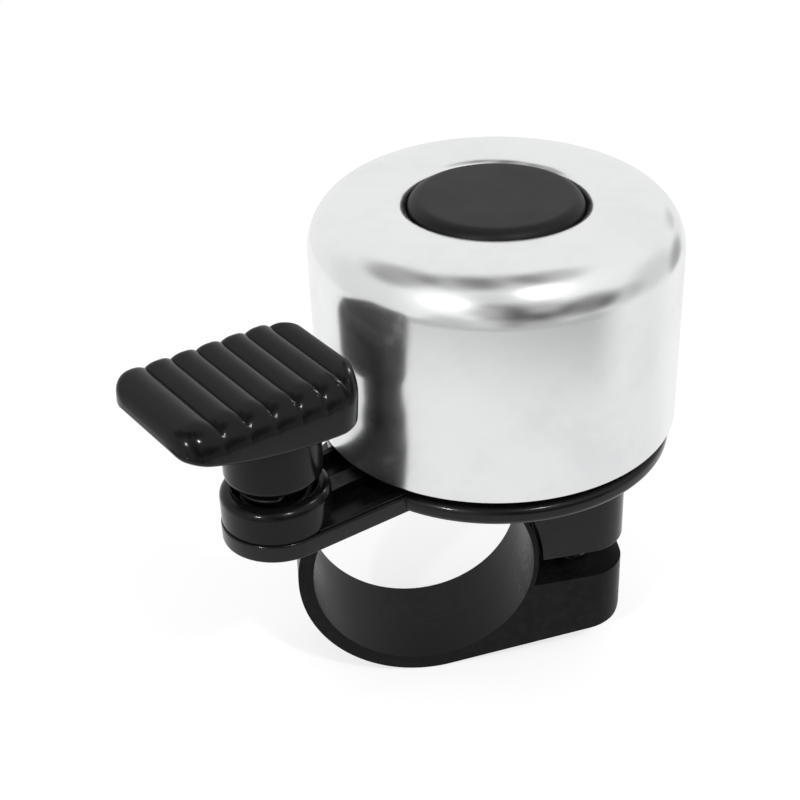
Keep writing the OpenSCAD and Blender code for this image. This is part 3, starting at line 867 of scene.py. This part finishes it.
@dataclass
class Base:
    """Moulded base: dished ring, arm with a trough, saddle, clamp block and the pivot cup."""

    at: Datums
    ring_r: float = 17.0
    ring_wall: float = 1.6
    ring_round: float = 0.75
    ring_in_round: float = 0.2
    edge: float = 0.22
    flange_r: float = 5.05
    arm_half: float = 6.65
    arm_wall: float = 0.7
    arm_step: float = 0.3
    arm_lip: float = 0.2
    lip_sink: float = 0.4
    lip_edge: float = 0.16
    root_angle: float = 125.0
    saddle_sink: float = 0.3
    pivot_hole_r: float = 1.3
    post_hole_r: float = 2.22
    screw_hole_r: float = 2.4
    nut_across: float = 7.2
    cup_r: float = 4.95
    cup_fit: float = 0.02
    cup_in_r: float = 3.85
    cup_top: float = 18.3
    cup_round: float = 0.9
    cup_mouth_round: float = 0.12
    seam_d: float = 0.12
    seam_h: float = 0.1
    window: Flat = (-4.0, 2.0)
    window_room: float = 0.2

    def arm_outline(self, inset: float) -> list[Flat]:
        """Outline of the arm in the lever's frame.

        Args:
            inset: Distance inside the arm's edge.

        Returns:
            The outline's corners.
        """
        near, wide = self.flange_r - inset, self.arm_half - inset
        lean = math.asin((wide - near) / self.at.pivot_reach)
        turn = math.degrees(lean)
        far = (self.at.pivot_reach - wide * math.sin(lean), wide * math.cos(lean))
        return arc((0, 0), near, 90 + turn, 270 - turn, 40) + [(far[0], -far[1]), far]

    def ring(self) -> Solid:
        """Dished ring under the dome, with round edges.

        Returns:
            The ring in its place.
        """
        at, r, e, f = self.at, self.ring_r, self.ring_round, self.ring_in_round
        inner = r - self.ring_wall
        profile = [(0.0, at.plate_z)]
        profile += quarter((r, at.plate_z), e, -90) + quarter((r, at.ring_top_z), e, 0)
        profile += quarter((inner, at.ring_top_z), f, 90, 4)
        profile += [(inner, at.floor_z), (0.0, at.floor_z)]
        return Solid.lathe(profile, 160).move(at.at_dome())

    def saddle(self) -> Solid:
        """Saddle on the handlebar and the clamp block, with a pocket for the strap's tongue.

        Returns:
            The saddle in its place.
        """
        at = self.at
        pocket_r = at.bore_r + at.tongue_t + at.tongue_gap
        pocket_end = at.tongue_angle + math.degrees(math.asin(2 * at.tongue_gap / at.bore_r))
        top = at.plate_z + self.saddle_sink
        root = math.radians(self.root_angle)
        start = (at.band_r * math.cos(root), at.band_r * math.sin(root))
        outline = [(at.lug_x, at.slot_edge(at.lug_x, 1)), (at.lug_x, top), (start[0], top), start]
        outline += arc((0, 0), at.bore_r, self.root_angle, pocket_end, 60)
        outline += arc((0, 0), pocket_r, pocket_end, at.slot_angle(1, pocket_r), 24)
        return Solid.slab(outline, at.clamp_w).keep(at.clamp_plan()).soften(self.edge, angle=30)

    def plate(self) -> None:
        """Base plate: ring, arm, lip and saddle in one moulding."""
        at, pivot, axis = self.at, self.at.at_pivot(), self.at.at_dome()
        lip_foot, lip_top = at.plate_z + self.lip_sink, at.plate_top_z + self.arm_lip
        inside = self.arm_outline(self.arm_step + self.arm_wall)
        dish = self.ring_r - self.ring_wall
        arm = Solid.prism(self.arm_outline(0), at.plate_z, at.plate_top_z).soften(self.edge, angle=40)
        lip = Solid.prism(self.arm_outline(self.arm_step), lip_foot, lip_top)
        lip.cut(
            disc(self.cup_r + self.cup_fit, at.plate_top_z, BEYOND),
            Solid.prism(inside, at.plate_z + self.lip_sink / 2, BEYOND),
        )
        lip.soften(self.lip_edge, angle=40).move(pivot)
        lip.cut(disc(dish, at.plate_z - PAST, BEYOND).move(axis))
        body = self.ring().join(arm.move(pivot), self.saddle(), lip)
        body.cut(
            Solid.prism(inside, at.floor_z, BEYOND).move(pivot),
            disc(dish, at.floor_z, BEYOND, 160).move(axis),
            disc(self.pivot_hole_r, 0, BEYOND / 2).move(pivot),
            disc(self.post_hole_r, at.plate_z - 2 * PAST, BEYOND / 2).move(axis),
            disc(self.screw_hole_r, -BEYOND / 2, BEYOND / 2).move(at.at_screw()),
            self.nut_pocket(),
        )
        body.piece("base_moulding", BASE_PLASTIC, Body.BASE, "base_plate", angle=32)

    def nut_pocket(self) -> Solid:
        """Six-sided pocket that holds the clamp nut."""
        return Solid.prism(hexagon(self.nut_across), self.at.nut_z, BEYOND / 2).move(self.at.at_screw())

    def cup(self) -> None:
        """Pivot cup with a round shoulder, a fine parting line and the arm's window."""
        at, r, e, f = self.at, self.cup_r, self.cup_round, self.cup_mouth_round
        foot, seam = at.plate_top_z, r - self.seam_d
        profile = [(self.cup_in_r, foot), (seam, foot)]
        profile += [(seam, foot + self.seam_h), (r, foot + 2 * self.seam_h)]
        profile += quarter((r, self.cup_top), e, 0, 16) + quarter((self.cup_in_r, self.cup_top), f, 90, 4)
        cup = Solid.lathe(profile, 128)
        back, front = self.window
        cup.cut(box((0, back, foot - PAST), (2 * r, front, at.hub_z + self.window_room)))
        cup.move(at.at_pivot())
        cup.piece("pivot_cup_moulding", LEVER_PLASTIC, Body.BASE, "pivot_cup", angle=32)


@dataclass
class Clamp:
    """Strap under the handlebar with its lug, screw, washer and nut."""

    at: Datums
    root_angle: float = 125.51
    lug_rise: float = 11.0
    lug_round: float = 1.5
    edge: float = 0.2
    hole_r: float = 2.2
    washer_z: float = -6.507
    washer_t: float = 0.8
    washer_r: float = 3.7
    washer_hole_r: float = 2.05
    washer_room: float = 0.2
    nut_t: float = 3.2
    nut_top_t: float = 0.6
    nut_across: float = 7.0
    nut_chamfer: Flat = (0.6, 0.45)
    nut_past: float = 0.1
    tip_room: float = 0.8

    def strap(self) -> None:
        """Strap, lug and the tongue that closes the bore, in one moulding with round edges."""
        at = self.at
        rise = math.radians(self.lug_rise)
        turn = 270 + self.lug_rise
        r = self.lug_round
        low_x = at.lug_x - r
        low_z = -at.band_r / math.cos(rise) + low_x * math.tan(rise) + r / math.cos(rise)
        outline = arc((0, 0), at.band_r, self.root_angle, turn, 96)
        outline += arc((low_x, low_z), r, turn - 360, 0, 10)
        outline += [(at.lug_x, at.slot_edge(at.lug_x, -1))]
        tongue_r = at.bore_r + at.tongue_t
        outline += arc((0, 0), tongue_r, at.slot_angle(-1, tongue_r), at.tongue_angle, 24)
        outline += arc((0, 0), at.bore_r, at.tongue_angle + 360, self.root_angle, 130)
        strap = Solid.slab(outline, at.clamp_w).keep(at.clamp_plan()).soften(self.edge, angle=30)
        seat = self.washer_z + self.washer_t
        strap.cut(
            disc(self.hole_r, -BEYOND, BEYOND).move(at.at_screw()),
            disc(self.washer_r + self.washer_room, -BEYOND, seat).move(at.at_screw()),
        )
        strap.piece("strap_moulding", STRAP_PLASTIC, Body.STRAP, "clamp_strap", angle=32)

    def hardware(self) -> None:
        """Screw, washer and nut of the clamp."""
        place = self.at.at_screw()
        low, top = self.at.nut_z, self.at.nut_z + self.nut_t
        hole_top = top - self.nut_top_t
        length = hole_top - self.tip_room - self.washer_z
        screw = MachineScrew(thread_d=4.0, length=length, head_d=6.8, head_h=2.4, pitch=0.7).build()
        screw.move(Matrix.Translation((0, 0, self.washer_z))).move(place)
        washer = ring_washer(self.washer_r, self.washer_hole_r, self.washer_z, self.washer_t).move(place)
        corner = self.nut_across / math.sqrt(3)
        run, rise = self.nut_chamfer
        flat, past = corner - run, corner + self.nut_past
        turned = [(0, low), (flat, low), (past, low + rise), (past, top - rise), (flat, top), (0, top)]
        nut = Solid.prism(hexagon(self.nut_across), low, top)
        nut.keep(Solid.lathe(turned, 96)).cut(disc(self.hole_r, 0, hole_top)).move(place)
        screw.piece("clamp_screw_turned", SCREW_STEEL, Body.SCREW, "clamp_screw", angle=30)
        washer.piece("clamp_washer_pressed", SCREW_STEEL, Body.STRAP, "clamp_washer")
        nut.piece("clamp_nut_chamfered", SCREW_STEEL, Body.BASE, "clamp_nut", angle=20)


@dataclass
class Dome:
    """Bright bell on its post, with the screw and the cap in its dish."""

    at: Datums
    height: float = 22.3
    wall: float = 1.3
    shoulder: float = 4.8
    rim_round: float = 0.25
    lip: float = 5.5
    lip_run: float = 3.6
    lip_flat: float = 9.6
    lip_lean: float = 15.0
    lip_bend: float = 1.5
    lip_fall: float = 47.0
    dish_r: float = 8.35
    dish_round: float = 0.4
    under_round: float = 0.6
    hole_r: float = 1.95
    post_r: float = 3.0
    post_chamfer: float = 0.25
    post_waist: float = 0.15
    post_collar_low: Flat = (1.4, 1.6)
    post_collar_top: Flat = (1.0, 1.2)
    post_bore_r: float = 1.77
    post_bore: Flat = (6.2, 7.0)
    spigot_r: float = 2.2
    spigot_h: float = 2.0
    spigot_chamfer: float = 0.2
    bush_z: float = 32.4
    bush_r: float = 4.2
    bush_t: float = 1.0
    washer_r: float = 4.4
    washer_t: float = 0.6
    washer_hole_r: float = 1.8
    cap_r: float = 8.2
    cap_foot_r: float = 8.3
    cap_top: float = 38.15
    cap_round: float = 1.2
    cap_wall: float = 0.9
    groove_z: float = 0.7
    groove_d: float = 0.1
    groove_h: Flat = (0.08, 0.15)
    foot_round: float = 0.15

    def bell(self) -> None:
        """Spun sheet: straight wall, round shoulder, a wide curve to the cap and a dish."""
        at, t, e, f, u = self.at, self.wall, self.rim_round, self.dish_round, self.under_round
        r, rim, top = at.dome_r, at.rim_z, at.rim_z + self.height
        s = (r - self.shoulder, top - self.shoulder)
        edge = (self.dish_r + self.lip_run, top - self.lip)
        inner = math.degrees(math.acos((t - self.lip_run) / (self.lip - t)))
        under = at.recess_z - t
        profile = quarter((r, rim), e, -90, 6)
        profile += [(r, rim + (s[1] - rim) * i / 6) for i in range(1, 6)]
        profile += arc(s, self.shoulder, 0, 90, 40) + self.dish_lip(top)
        profile += quarter((self.dish_r, at.recess_z), f, -90, 6)[::-1]
        profile += [(self.hole_r, at.recess_z), (self.hole_r, under)]
        profile += quarter((self.dish_r + t, under), u, -90, 6)
        profile += arc(edge, self.lip - t, inner, 90, 12)
        profile += arc(s, self.shoulder - t, 90, 0, 30)
        profile += quarter((r - t, rim), e, 180, 6)
        bell = Solid.lathe(profile, 256).move(at.at_dome())
        bell.piece("bell_dome", DOME_METAL, Body.BASE, "dome", angle=60)

    def dish_lip(self, top: float) -> list[Flat]:
        """Lip of the dish: nearly flat at first, then a tight bend and a steep fall to the cap.

        Args:
            top: Level of the dome's top.

        Returns:
            The lip's points from its crest inwards.
        """
        lean, fall, bend = math.radians(self.lip_lean), math.radians(self.lip_fall), self.lip_bend
        crest = (self.dish_r + self.lip_run, top - self.lip_flat)
        points = arc(crest, self.lip_flat, 90, 90 + self.lip_lean, 12)
        x, z = points[-1]
        centre = (x + bend * math.sin(lean), z - bend * math.cos(lean))
        points += arc(centre, bend, 90 + self.lip_lean, 90 + self.lip_fall, 14)[1:]
        x, z = points[-1]
        return points + [(self.dish_r, z - (x - self.dish_r) * math.tan(fall))]

    def cap(self) -> None:
        """Matte cap with a round edge, a fine groove above its foot and a hollow underside."""
        at, r, e, top = self.at, self.cap_r, self.cap_round, self.cap_top
        d, f, foot_r = self.groove_d, self.foot_round, self.cap_foot_r
        low, groove, hollow = at.recess_z, at.recess_z + self.groove_z, top - self.cap_wall
        profile = [((r - e) * i / 12, top) for i in range(12)]
        profile += quarter((r, top), e, 0, 20)[::-1]
        profile += [(r, groove + self.groove_h[1]), (r - d, groove + self.groove_h[0]), (r - d, groove)]
        profile += quarter((foot_r, groove), f, 0, 4)[::-1]
        profile += [(foot_r, low), (r - self.cap_wall, low), (r - self.cap_wall, hollow), (0.0, hollow)]
        cap = Solid.lathe(profile, 160).move(at.at_dome())
        cap.piece("cap_button_moulding", CAP_PLASTIC, Body.BASE, "cap_button", angle=40)

    def hardware(self) -> None:
        """Post, bush, washer and screw that hold the bell."""
        at, r, e, peg, bore = self.at, self.post_r, self.post_chamfer, self.spigot_r, self.post_bore_r
        low, foot, top, c = at.plate_z - self.spigot_h, at.floor_z, self.bush_z, self.spigot_chamfer
        waist = r - self.post_waist
        (low_end, low_waist), (top_end, top_waist) = self.post_collar_low, self.post_collar_top
        drilled, point = self.post_bore
        profile = [(peg - c, low), (peg, low + c), (peg, foot), (r - e, foot), (r, foot + e)]
        profile += [(r, foot + low_end), (waist, foot + low_waist), (waist, top - top_waist)]
        profile += [(r, top - top_end), (r, top - e), (r - e, top)]
        profile += [(bore, top), (bore, top - drilled), (0.0, top - point), (0.0, low)]
        place = at.at_dome()
        hole, seat = self.washer_hole_r, at.recess_z
        screw = MachineScrew(thread_d=3.5, length=9.0, head_d=6.4, head_h=1.5, pitch=0.6).build()
        screw.move(Matrix.Rotation(math.pi, 4, "X")).move(Matrix.Translation((0, 0, seat + self.washer_t)))
        post = Solid.lathe(profile, 72).move(place)
        bush = ring_washer(self.bush_r, hole, self.bush_z, self.bush_t).move(place)
        washer = ring_washer(self.washer_r, hole, seat, self.washer_t).move(place)
        post.piece("centre_post_turned", HAMMER_STEEL, Body.BASE, "centre_post")
        bush.piece("dome_bush_moulded", NYLON, Body.BASE, "dome_bush")
        washer.piece("dome_washer_pressed", SCREW_STEEL, Body.BASE, "dome_washer")
        screw.move(place).piece("dome_screw_turned", SCREW_STEEL, Body.BASE, "dome_screw", angle=30)


@dataclass
class Lever:
    """Thumb lever: ribbed paddle on a column, with its screw, washers and spring."""

    at: Datums
    crest_z: float = 30.0
    thick: float = 5.2
    reach_out: float = 11.2
    reach_in: float = 7.0
    width: float = 12.9
    shift: float = 0.35
    pitch: float = 2.5
    roll: float = 3.4
    belly_r: float = 46.0
    belly_x: float = 4.4
    corner_in: float = 3.2
    corner_out: float = 2.4
    edge_front: float = 2.7
    edge_back: float = 1.0
    end_r: float = 0.5
    nose_r: float = 2.4
    nose_run: float = 2.1
    ribs: int = 6
    rib_pitch: float = 2.48
    rib_r: float = 1.75
    rib_start: float = 0.39
    rib_steps: int = 16
    blend: float = 1.5
    across: int = 48
    under_r: float = 0.5
    under_share: Flat = (0.3, 0.25)
    tip_share: float = 0.995
    column_r: float = 4.4
    column_z: float = 19.3
    column_round: float = 0.8
    neck_r: float = 2.3
    spigot: float = 4.2
    spigot_z: float = 14.45
    spigot_sink: float = 0.2
    flange_t: float = 0.55
    flange_past: float = 0.2
    flange_chamfer: float = 0.1
    screw_hole_r: float = 1.27
    screw_hole_top: float = 22.4
    screw_reach: float = 9.0
    screw_seat: float = 0.45
    washer_r: float = 2.7
    washer_t: float = 0.4
    thrust_r: float = 3.55
    thrust_hole_r: float = 1.3
    thrust_t: float = 0.3
    wire: float = 0.5
    coil_r: float = 3.075
    coil_z: float = 16.25
    coil_pitch: float = 0.95
    coil_turns: float = 2.25
    coil_start: float = 150.0
    coil_steps: int = 48
    leg: float = 2.5

    def groove(self, x: float) -> float:
        """Depth of the ribbed top and the round nose below the crest line.

        Args:
            x: Place along the paddle.

        Returns:
            The depth at x.
        """
        first = self.reach_in - self.rib_start * self.rib_pitch
        rounds = [(first - i * self.rib_pitch, self.rib_r) for i in range(self.ribs)]
        rounds.append((self.nose_run - self.reach_out, self.nose_r))
        return min(round_off(r, abs(x - c)) for c, r in rounds if abs(x - c) < r)

    def belly(self, x: float) -> float:
        """Lowest level of the paddle at x."""
        return round_off(self.belly_r, abs(x - self.belly_x)) - self.thick

    def end_round(self, x: float) -> float:
        """Set-back of the paddle's skin near its two ends, for round edges."""
        return round_off(self.end_r, max(x - self.reach_in, -self.reach_out - x) + self.end_r)

    def half_width(self, x: float) -> float:
        """Half of the paddle's width, less at its round corners.

        Args:
            x: Place along the paddle.

        Returns:
            The half width at x.
        """
        inner = round_off(self.corner_in, x - (self.reach_in - self.corner_in))
        outer = round_off(self.corner_out, (self.corner_out - self.reach_out) - x)
        return self.width / 2 - inner - outer - self.end_round(x)

    def section(self, x: float) -> list[Point]:
        """Closed section of the paddle across its length.

        Args:
            x: Place along the paddle.

        Returns:
            The section's points, all sections with the same count.
        """
        half, groove, back_off = self.half_width(x), self.groove(x), self.end_round(x)
        low = self.belly(x) + back_off
        deep = -groove - back_off - low
        under = min(self.under_r, half * self.under_share[0], deep * self.under_share[1])
        wide = self.width / 2
        points = []
        for i in range(self.across + 1):
            y = -half * math.cos(math.pi * i / self.across)
            edge = round_off(self.edge_front, self.edge_front - wide - y * wide / half)
            edge += round_off(self.edge_back, y * wide / half + self.edge_back - wide)
            fall = (groove**self.blend + edge**self.blend) ** (1 / self.blend)
            points.append((x, y, max(-fall - back_off, low + under)))
        points += [(x, y, z) for y, z in quarter((half, low), under, -90, 6)[::-1]]
        points += [(x, half - under - (2 * half - 2 * under) * i / 10, low) for i in range(1, 10)]
        points += [(x, y, z) for y, z in quarter((-half, low), under, 180, 6)[::-1]]
        return points

    def paddle(self) -> Solid:
        """Ribbed paddle, leaning from its crest on the lever's axis.

        Returns:
            The paddle in the lever's frame.
        """
        e, low, high = self.end_r, self.end_r - self.reach_out, self.reach_in - self.end_r
        turns = [math.pi / 2 * i / 8 for i in range(9)]
        steps = round((high - low) / (self.rib_pitch / self.rib_steps))
        tip = self.tip_share * e
        places = [low - tip * math.cos(a) for a in turns]
        places += [low + (high - low) * i / steps for i in range(1, steps)]
        places += [high + tip * math.sin(a) for a in turns]
        lean = Matrix.Rotation(math.radians(self.pitch), 4, "Y")
        lean = lean @ Matrix.Rotation(math.radians(self.roll), 4, "X")
        skin = Solid.loft([self.section(x) for x in places])
        return skin.move(Matrix.Translation((0, self.shift, self.crest_z)) @ lean)

    def lever(self) -> None:
        """Paddle, column, neck and square spigot in one moulding."""
        at, r, e = self.at, self.column_r, self.column_round
        hub, low, top = at.hub_z, self.column_z, self.crest_z - self.thick / 2
        flange, neck_z = self.spigot / math.sqrt(2) + self.flange_past, hub + self.flange_t
        c = self.flange_chamfer
        profile = [(0.0, hub), (flange - c, hub), (flange, hub + c), (flange, neck_z)]
        profile += [(self.neck_r, neck_z), (self.neck_r, low)]
        profile += quarter((r, low), e, -90) + [(r, top), (0.0, top)]
        half = self.spigot / 2
        column = Solid.lathe(profile, 96)
        column.join(box((-half, -half, self.spigot_z), (half, half, hub + self.spigot_sink)), self.paddle())
        column.cut(disc(self.screw_hole_r, 0, self.screw_hole_top)).move(at.at_pivot())
        column.piece("thumb_lever_moulding", LEVER_PLASTIC, Body.LEVER, "thumb_lever", angle=40)

    def hardware(self) -> None:
        """Screw and washers on the lever's axis."""
        at, place = self.at, self.at.at_pivot()
        low = at.plate_z - self.screw_seat
        length = at.plate_z + self.screw_reach - low
        screw = MachineScrew(thread_d=2.5, length=length, head_d=4.6, head_h=1.0, pitch=0.45).build()
        screw.move(Matrix.Translation((0, 0, low))).move(place)
        washer = ring_washer(self.washer_r, self.screw_hole_r, low, self.washer_t).move(place)
        thrust = ring_washer(self.thrust_r, self.thrust_hole_r, at.floor_z, self.thrust_t).move(place)
        screw.piece("lever_screw_turned", SCREW_STEEL, Body.LEVER, "lever_screw", angle=30)
        washer.piece("lever_washer_pressed", SCREW_STEEL, Body.LEVER, "lever_washer")
        thrust.piece("thrust_washer_moulded", NYLON, Body.BASE, "thrust_washer")

    def spring(self) -> None:
        """Return spring: a hooked leg, the turns and an upright leg."""
        r, wire, up = self.coil_r, self.wire, Vector((0.0, 0.0, 1.0))
        start = math.radians(self.coil_start)
        end = start + 2 * math.pi * self.coil_turns
        first = Vector((r * math.cos(start), r * math.sin(start), self.coil_z))
        back = Vector((math.sin(start), -math.cos(start), 0.0))
        path = [first + back * self.leg * (1 - i / 6) for i in range(6)]
        steps = int(self.coil_turns * self.coil_steps)
        for i in range(steps + 1):
            a = start + (end - start) * i / steps
            rise = self.coil_pitch * self.coil_turns * i / steps
            path.append(Vector((r * math.cos(a), r * math.sin(a), self.coil_z + rise)))
        last = path[-1]
        along = Vector((-math.sin(end), math.cos(end), 0.0))
        for i in range(1, 7):
            a = math.pi / 2 * i / 6
            path.append(last + along * (wire * math.sin(a)) + up * (wire * (1 - math.cos(a))))
        path.append(Vector((path[-1].x, path[-1].y, self.column_z + wire)))
        spring = Solid.tube(path, arc((0, 0), wire / 2, 0, 330, 11)).move(self.at.at_pivot())
        spring.piece("return_spring_wound", SPRING_STEEL, Body.BASE, "return_spring", angle=50)


@dataclass
class Hammer:
    """Hammer on its strip, which turns with the lever inside the base."""

    at: Datums
    strip_w: float = 2.0
    strip_z: float = 14.55
    strip_t: float = 0.8
    strip_edge: float = 0.1
    eye_r: float = 3.55
    hole: float = 4.24
    reach: float = 13.4
    end_r: float = 1.4
    radius: float = 2.2
    height: float = 5.0
    neck_d: float = 0.12
    neck_z: tuple[float, ...] = (2.2, 2.3, 2.5, 2.6)
    rivet_r: float = 0.8
    rivet_fit: float = 0.02
    rivet_room: float = 0.04
    rivet_tip: Flat = (0.15, 0.2)
    head_r: float = 1.4
    head_t: float = 0.2
    head_round: float = 0.1

    def arm(self) -> None:
        """Pressed strip with a square eye, round at the hammer's end."""
        half, low, top = self.strip_w / 2, self.strip_z, self.strip_z + self.strip_t
        flare = math.degrees(math.asin(half / self.eye_r))
        outline = arc((0, 0), self.eye_r, flare, 360 - flare, 72)
        meet = math.degrees(math.asin(half / self.end_r))
        outline += arc((self.reach, 0), self.end_r, -180 + meet, 180 - meet, 24)
        square = self.hole / 2
        rivet_hole = disc(self.rivet_r + self.rivet_fit, 0, BEYOND)
        strip = Solid.prism(outline, low, top)
        strip.cut(
            box((-square, -square, low - PAST), (square, square, top + PAST)),
            rivet_hole.move(Matrix.Translation((self.reach, 0, 0))),
        )
        strip.soften(self.strip_edge, segments=2, angle=40).move(self.at.at_pivot())
        strip.piece("hammer_arm_pressed", SPRING_STEEL, Body.LEVER, "hammer_arm", angle=32)

    def head(self) -> None:
        """Turned hammer and the rivet that holds it."""
        r, low, top = self.radius, self.at.hub_z, self.at.hub_z + self.height
        e, middle = r / 3, low + self.height / 2
        bore, neck = self.rivet_r + self.rivet_fit, r - self.neck_d
        profile = quarter((r, low), e, -90, 8)
        profile += [(x, low + z) for x, z in zip((r, neck, neck, r), self.neck_z)]
        profile += quarter((r, top), e, 0, 8)
        profile += [(0.0, top), (0.0, middle), (bore, middle), (bore, low)]
        foot, shank, end = self.strip_z, self.rivet_r, middle - self.rivet_room
        face = foot - self.head_t
        run, rise = self.rivet_tip
        rivet = quarter((self.head_r, face), self.head_round, -90, 4)
        rivet += [(self.head_r, foot), (shank, foot), (shank, middle - rise), (shank - run, end)]
        rivet += [(0.0, end), (0.0, face)]
        place = self.at.at_pivot() @ Matrix.Translation((self.reach, 0, 0))
        weight, pin = Solid.lathe(profile, 96).move(place), Solid.lathe(rivet, 64).move(place)
        weight.piece("hammer_turned", HAMMER_STEEL, Body.LEVER, "hammer")
        pin.piece("hammer_rivet_turned", HAMMER_STEEL, Body.LEVER, "hammer_rivet")


class Lamp(NamedTuple):
    """Round soft lamp aimed at the bell: angles in degrees, lengths in metres, power in watts."""

    name: str
    azimuth: float
    elevation: float
    distance: float
    size: float
    power: float


class Dim(NamedTuple):
    """Dim opening in the tent: its direction, the angles where it is whole and where it ends, its depth."""

    azimuth: float
    elevation: float
    core: float
    reach: float
    depth: float


@dataclass
class Studio:
    """Pale floor, soft light and the camera."""

    floor_z: float = -12.75
    floor_size: float = 0.3
    floor_paint: float = 0.45
    floor_white: float = 0.68
    floor_mirrored: float = 0.6
    # Painted shade of the floor in mirrors: where its glow is dimmed in front and far in front, and by how
    # much.
    front_turn: Flat = (-0.6, 0.1)
    front_painted_shade: float = 0.15
    far_turn: Flat = (0.35, 0.7)
    far_mm: Flat = (78.0, 112.0)
    far_painted_shade: float = 0.48
    eye_mm: Point = (-10.96, -124.58, 94.24)
    aim_mm: Point = (2.0, -3.0, 20.0)
    azimuth: float = -8.7
    elevation: float = 31.8
    lens: float = 67.5
    shift: float = -0.12
    tent: float = 0.9
    fill: float = 0.64
    lamps: tuple[Lamp, ...] = (
        Lamp("lamp_left", -39.0, 26.0, 0.6, 0.126, 0.2),
        Lamp("lamp_right", 25.0, 47.0, 0.6, 0.11, 0.2),
        Lamp("spot_left", -39.0, 26.0, 0.58, 0.04, 0.7),
        Lamp("spot_right", 25.0, 47.0, 0.58, 0.04, 0.7),
    )
    dims: tuple[Dim, ...] = (
        Dim(0.0, 73.0, 8.0, 24.0, 0.4),
        Dim(64.0, 70.0, 6.0, 19.0, 0.42),
        Dim(-48.0, 66.0, 8.0, 22.0, 0.42),
        Dim(-88.0, 47.0, 8.0, 24.0, 0.54),
        Dim(-90.0, 8.0, 15.0, 40.0, 0.14),
        Dim(-9.0, 38.0, 4.0, 22.0, 0.32),
        Dim(-8.0, 14.0, 4.0, 22.0, 0.5),
        Dim(15.0, 12.0, 4.0, 26.0, 0.5),
        Dim(14.0, -11.0, 4.0, 25.0, 0.46),
        Dim(-8.0, -10.0, 4.0, 18.0, 0.3),
        Dim(46.0, 5.0, 4.0, 24.0, 0.72),
        Dim(68.0, -1.0, 4.0, 20.0, 0.26),
        Dim(92.0, 3.0, 6.0, 26.0, 0.22),
        Dim(121.0, -9.0, 3.0, 14.0, 0.55),
        Dim(136.0, 6.0, 2.0, 8.0, 0.3),
        Dim(-35.0, -13.0, 4.0, 18.0, 0.38),
    )

    def camera(self) -> None:
        """Camera at the photograph's place, angle and framing."""
        made = bpy.data.cameras.new("photo_camera")
        made.sensor_width = 36.0
        made.lens = self.lens
        made.shift_x = self.shift
        made.clip_start = 0.01
        obj = put_in_scene("photo_camera", made)
        obj.location = Vector(self.eye_mm) * MM
        obj.rotation_euler = (math.radians(90 - self.elevation), 0.0, math.radians(self.azimuth))
        bpy.context.scene.camera = obj

    def floor(self) -> None:
        """Pale floor: white to the camera, with a soft shadow; in mirrors it glows grey, with painted shade
        that makes it darker in front and far in front.
        """
        half, z = self.floor_size / 2, self.floor_z * MM
        mesh = bpy.data.meshes.new("studio_floor")
        square = [(-half, -half, z), (half, -half, z), (half, half, z), (-half, half, z)]
        mesh.from_pydata(square, [], [(0, 1, 2, 3)])
        put_in_scene("studio_floor", mesh)
        made = bpy.data.materials.new("studio_floor")
        graph = Graph.of(made)
        at = graph.place()
        away = graph.vector("LENGTH", at, out="Value")
        front = 0 - graph.axis(graph.vector("NORMALIZE", at), "Y")
        far_shade_mask = front.step(*self.far_turn) * away.step(*self.far_mm)
        front_shade_mask = front.step(*self.front_turn)
        # Painted reflection: the floor's glow in mirrors, lowered by the painted shade in front and far in
        # front.
        mirrored = self.floor_mirrored - self.front_painted_shade * front_shade_mask - self.far_painted_shade * far_shade_mask
        level = (graph.seen() * mirrored).highest(graph.ray("Camera") * self.floor_white)
        paint = graph.node("ShaderNodeBsdfDiffuse", sockets={"Color": (*[self.floor_paint] * 3, 1.0)})
        glow = graph.node("ShaderNodeEmission", sockets={"Strength": level})
        total = graph.node("ShaderNodeAddShader", sockets={0: paint, 1: glow})
        graph.node("ShaderNodeOutputMaterial", sockets={"Surface": total})
        mesh.materials.append(made)

    def world(self) -> None:
        """White tent: white to the camera, with dim openings in mirrors and an even fill for the rest."""
        made = bpy.data.worlds.new("studio_world")
        bpy.context.scene.world = made
        graph = Graph.of(made)
        way = graph.node("ShaderNodeTexCoord", out="Generated")
        tent: Term = self.tent
        for dim in self.dims:
            near = graph.vector("DOT_PRODUCT", way, towards(dim.azimuth, dim.elevation), out="Value")
            whole, end = (math.cos(math.radians(angle)) for angle in (dim.core, dim.reach))
            tent = tent - dim.depth * near.step(end, whole)
        seen = graph.seen()
        level = graph.ray("Camera").highest(seen * tent).highest(self.fill * (1 - seen))
        back = graph.node("ShaderNodeBackground", sockets={"Color": (1.0, 1.0, 1.0, 1.0), "Strength": level})
        graph.node("ShaderNodeOutputWorld", sockets={"Surface": back})

    def light(self) -> None:
        """Soft lamps on both sides of the camera, with a small bright spot in each, aimed at the bell."""
        for lamp in self.lamps:
            made = bpy.data.lights.new(lamp.name, "AREA")
            made.shape = "DISK"
            made.size = lamp.size
            made.energy = lamp.power
            obj = put_in_scene(lamp.name, made)
            back = towards(lamp.azimuth, lamp.elevation)
            obj.location = Vector(self.aim_mm) * MM + back * lamp.distance
            obj.rotation_euler = back.to_track_quat("Z", "Y").to_euler()

    def build(self) -> None:
        """Set up the camera, the floor, the surroundings and the lamps."""
        bpy.context.scene.view_settings.view_transform = "Standard"
        self.camera()
        self.floor()
        self.world()
        self.light()


def main() -> None:
    """Load the frame, build the bell on it and set up the studio."""
    logging.basicConfig(level=logging.INFO, format="%(message)s")
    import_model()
    datums = Datums()
    Studio().build()
    base, clamp, dome = Base(datums), Clamp(datums), Dome(datums)
    lever, hammer = Lever(datums), Hammer(datums)
    steps: list[Callable[[], None]] = [
        base.plate, base.cup, clamp.strap, clamp.hardware, dome.bell, dome.cap, dome.hardware,
        lever.lever, lever.hardware, lever.spring, hammer.arm, hammer.head,
    ]
    for step in steps:
        step()


if __name__ == "__main__":
    main()
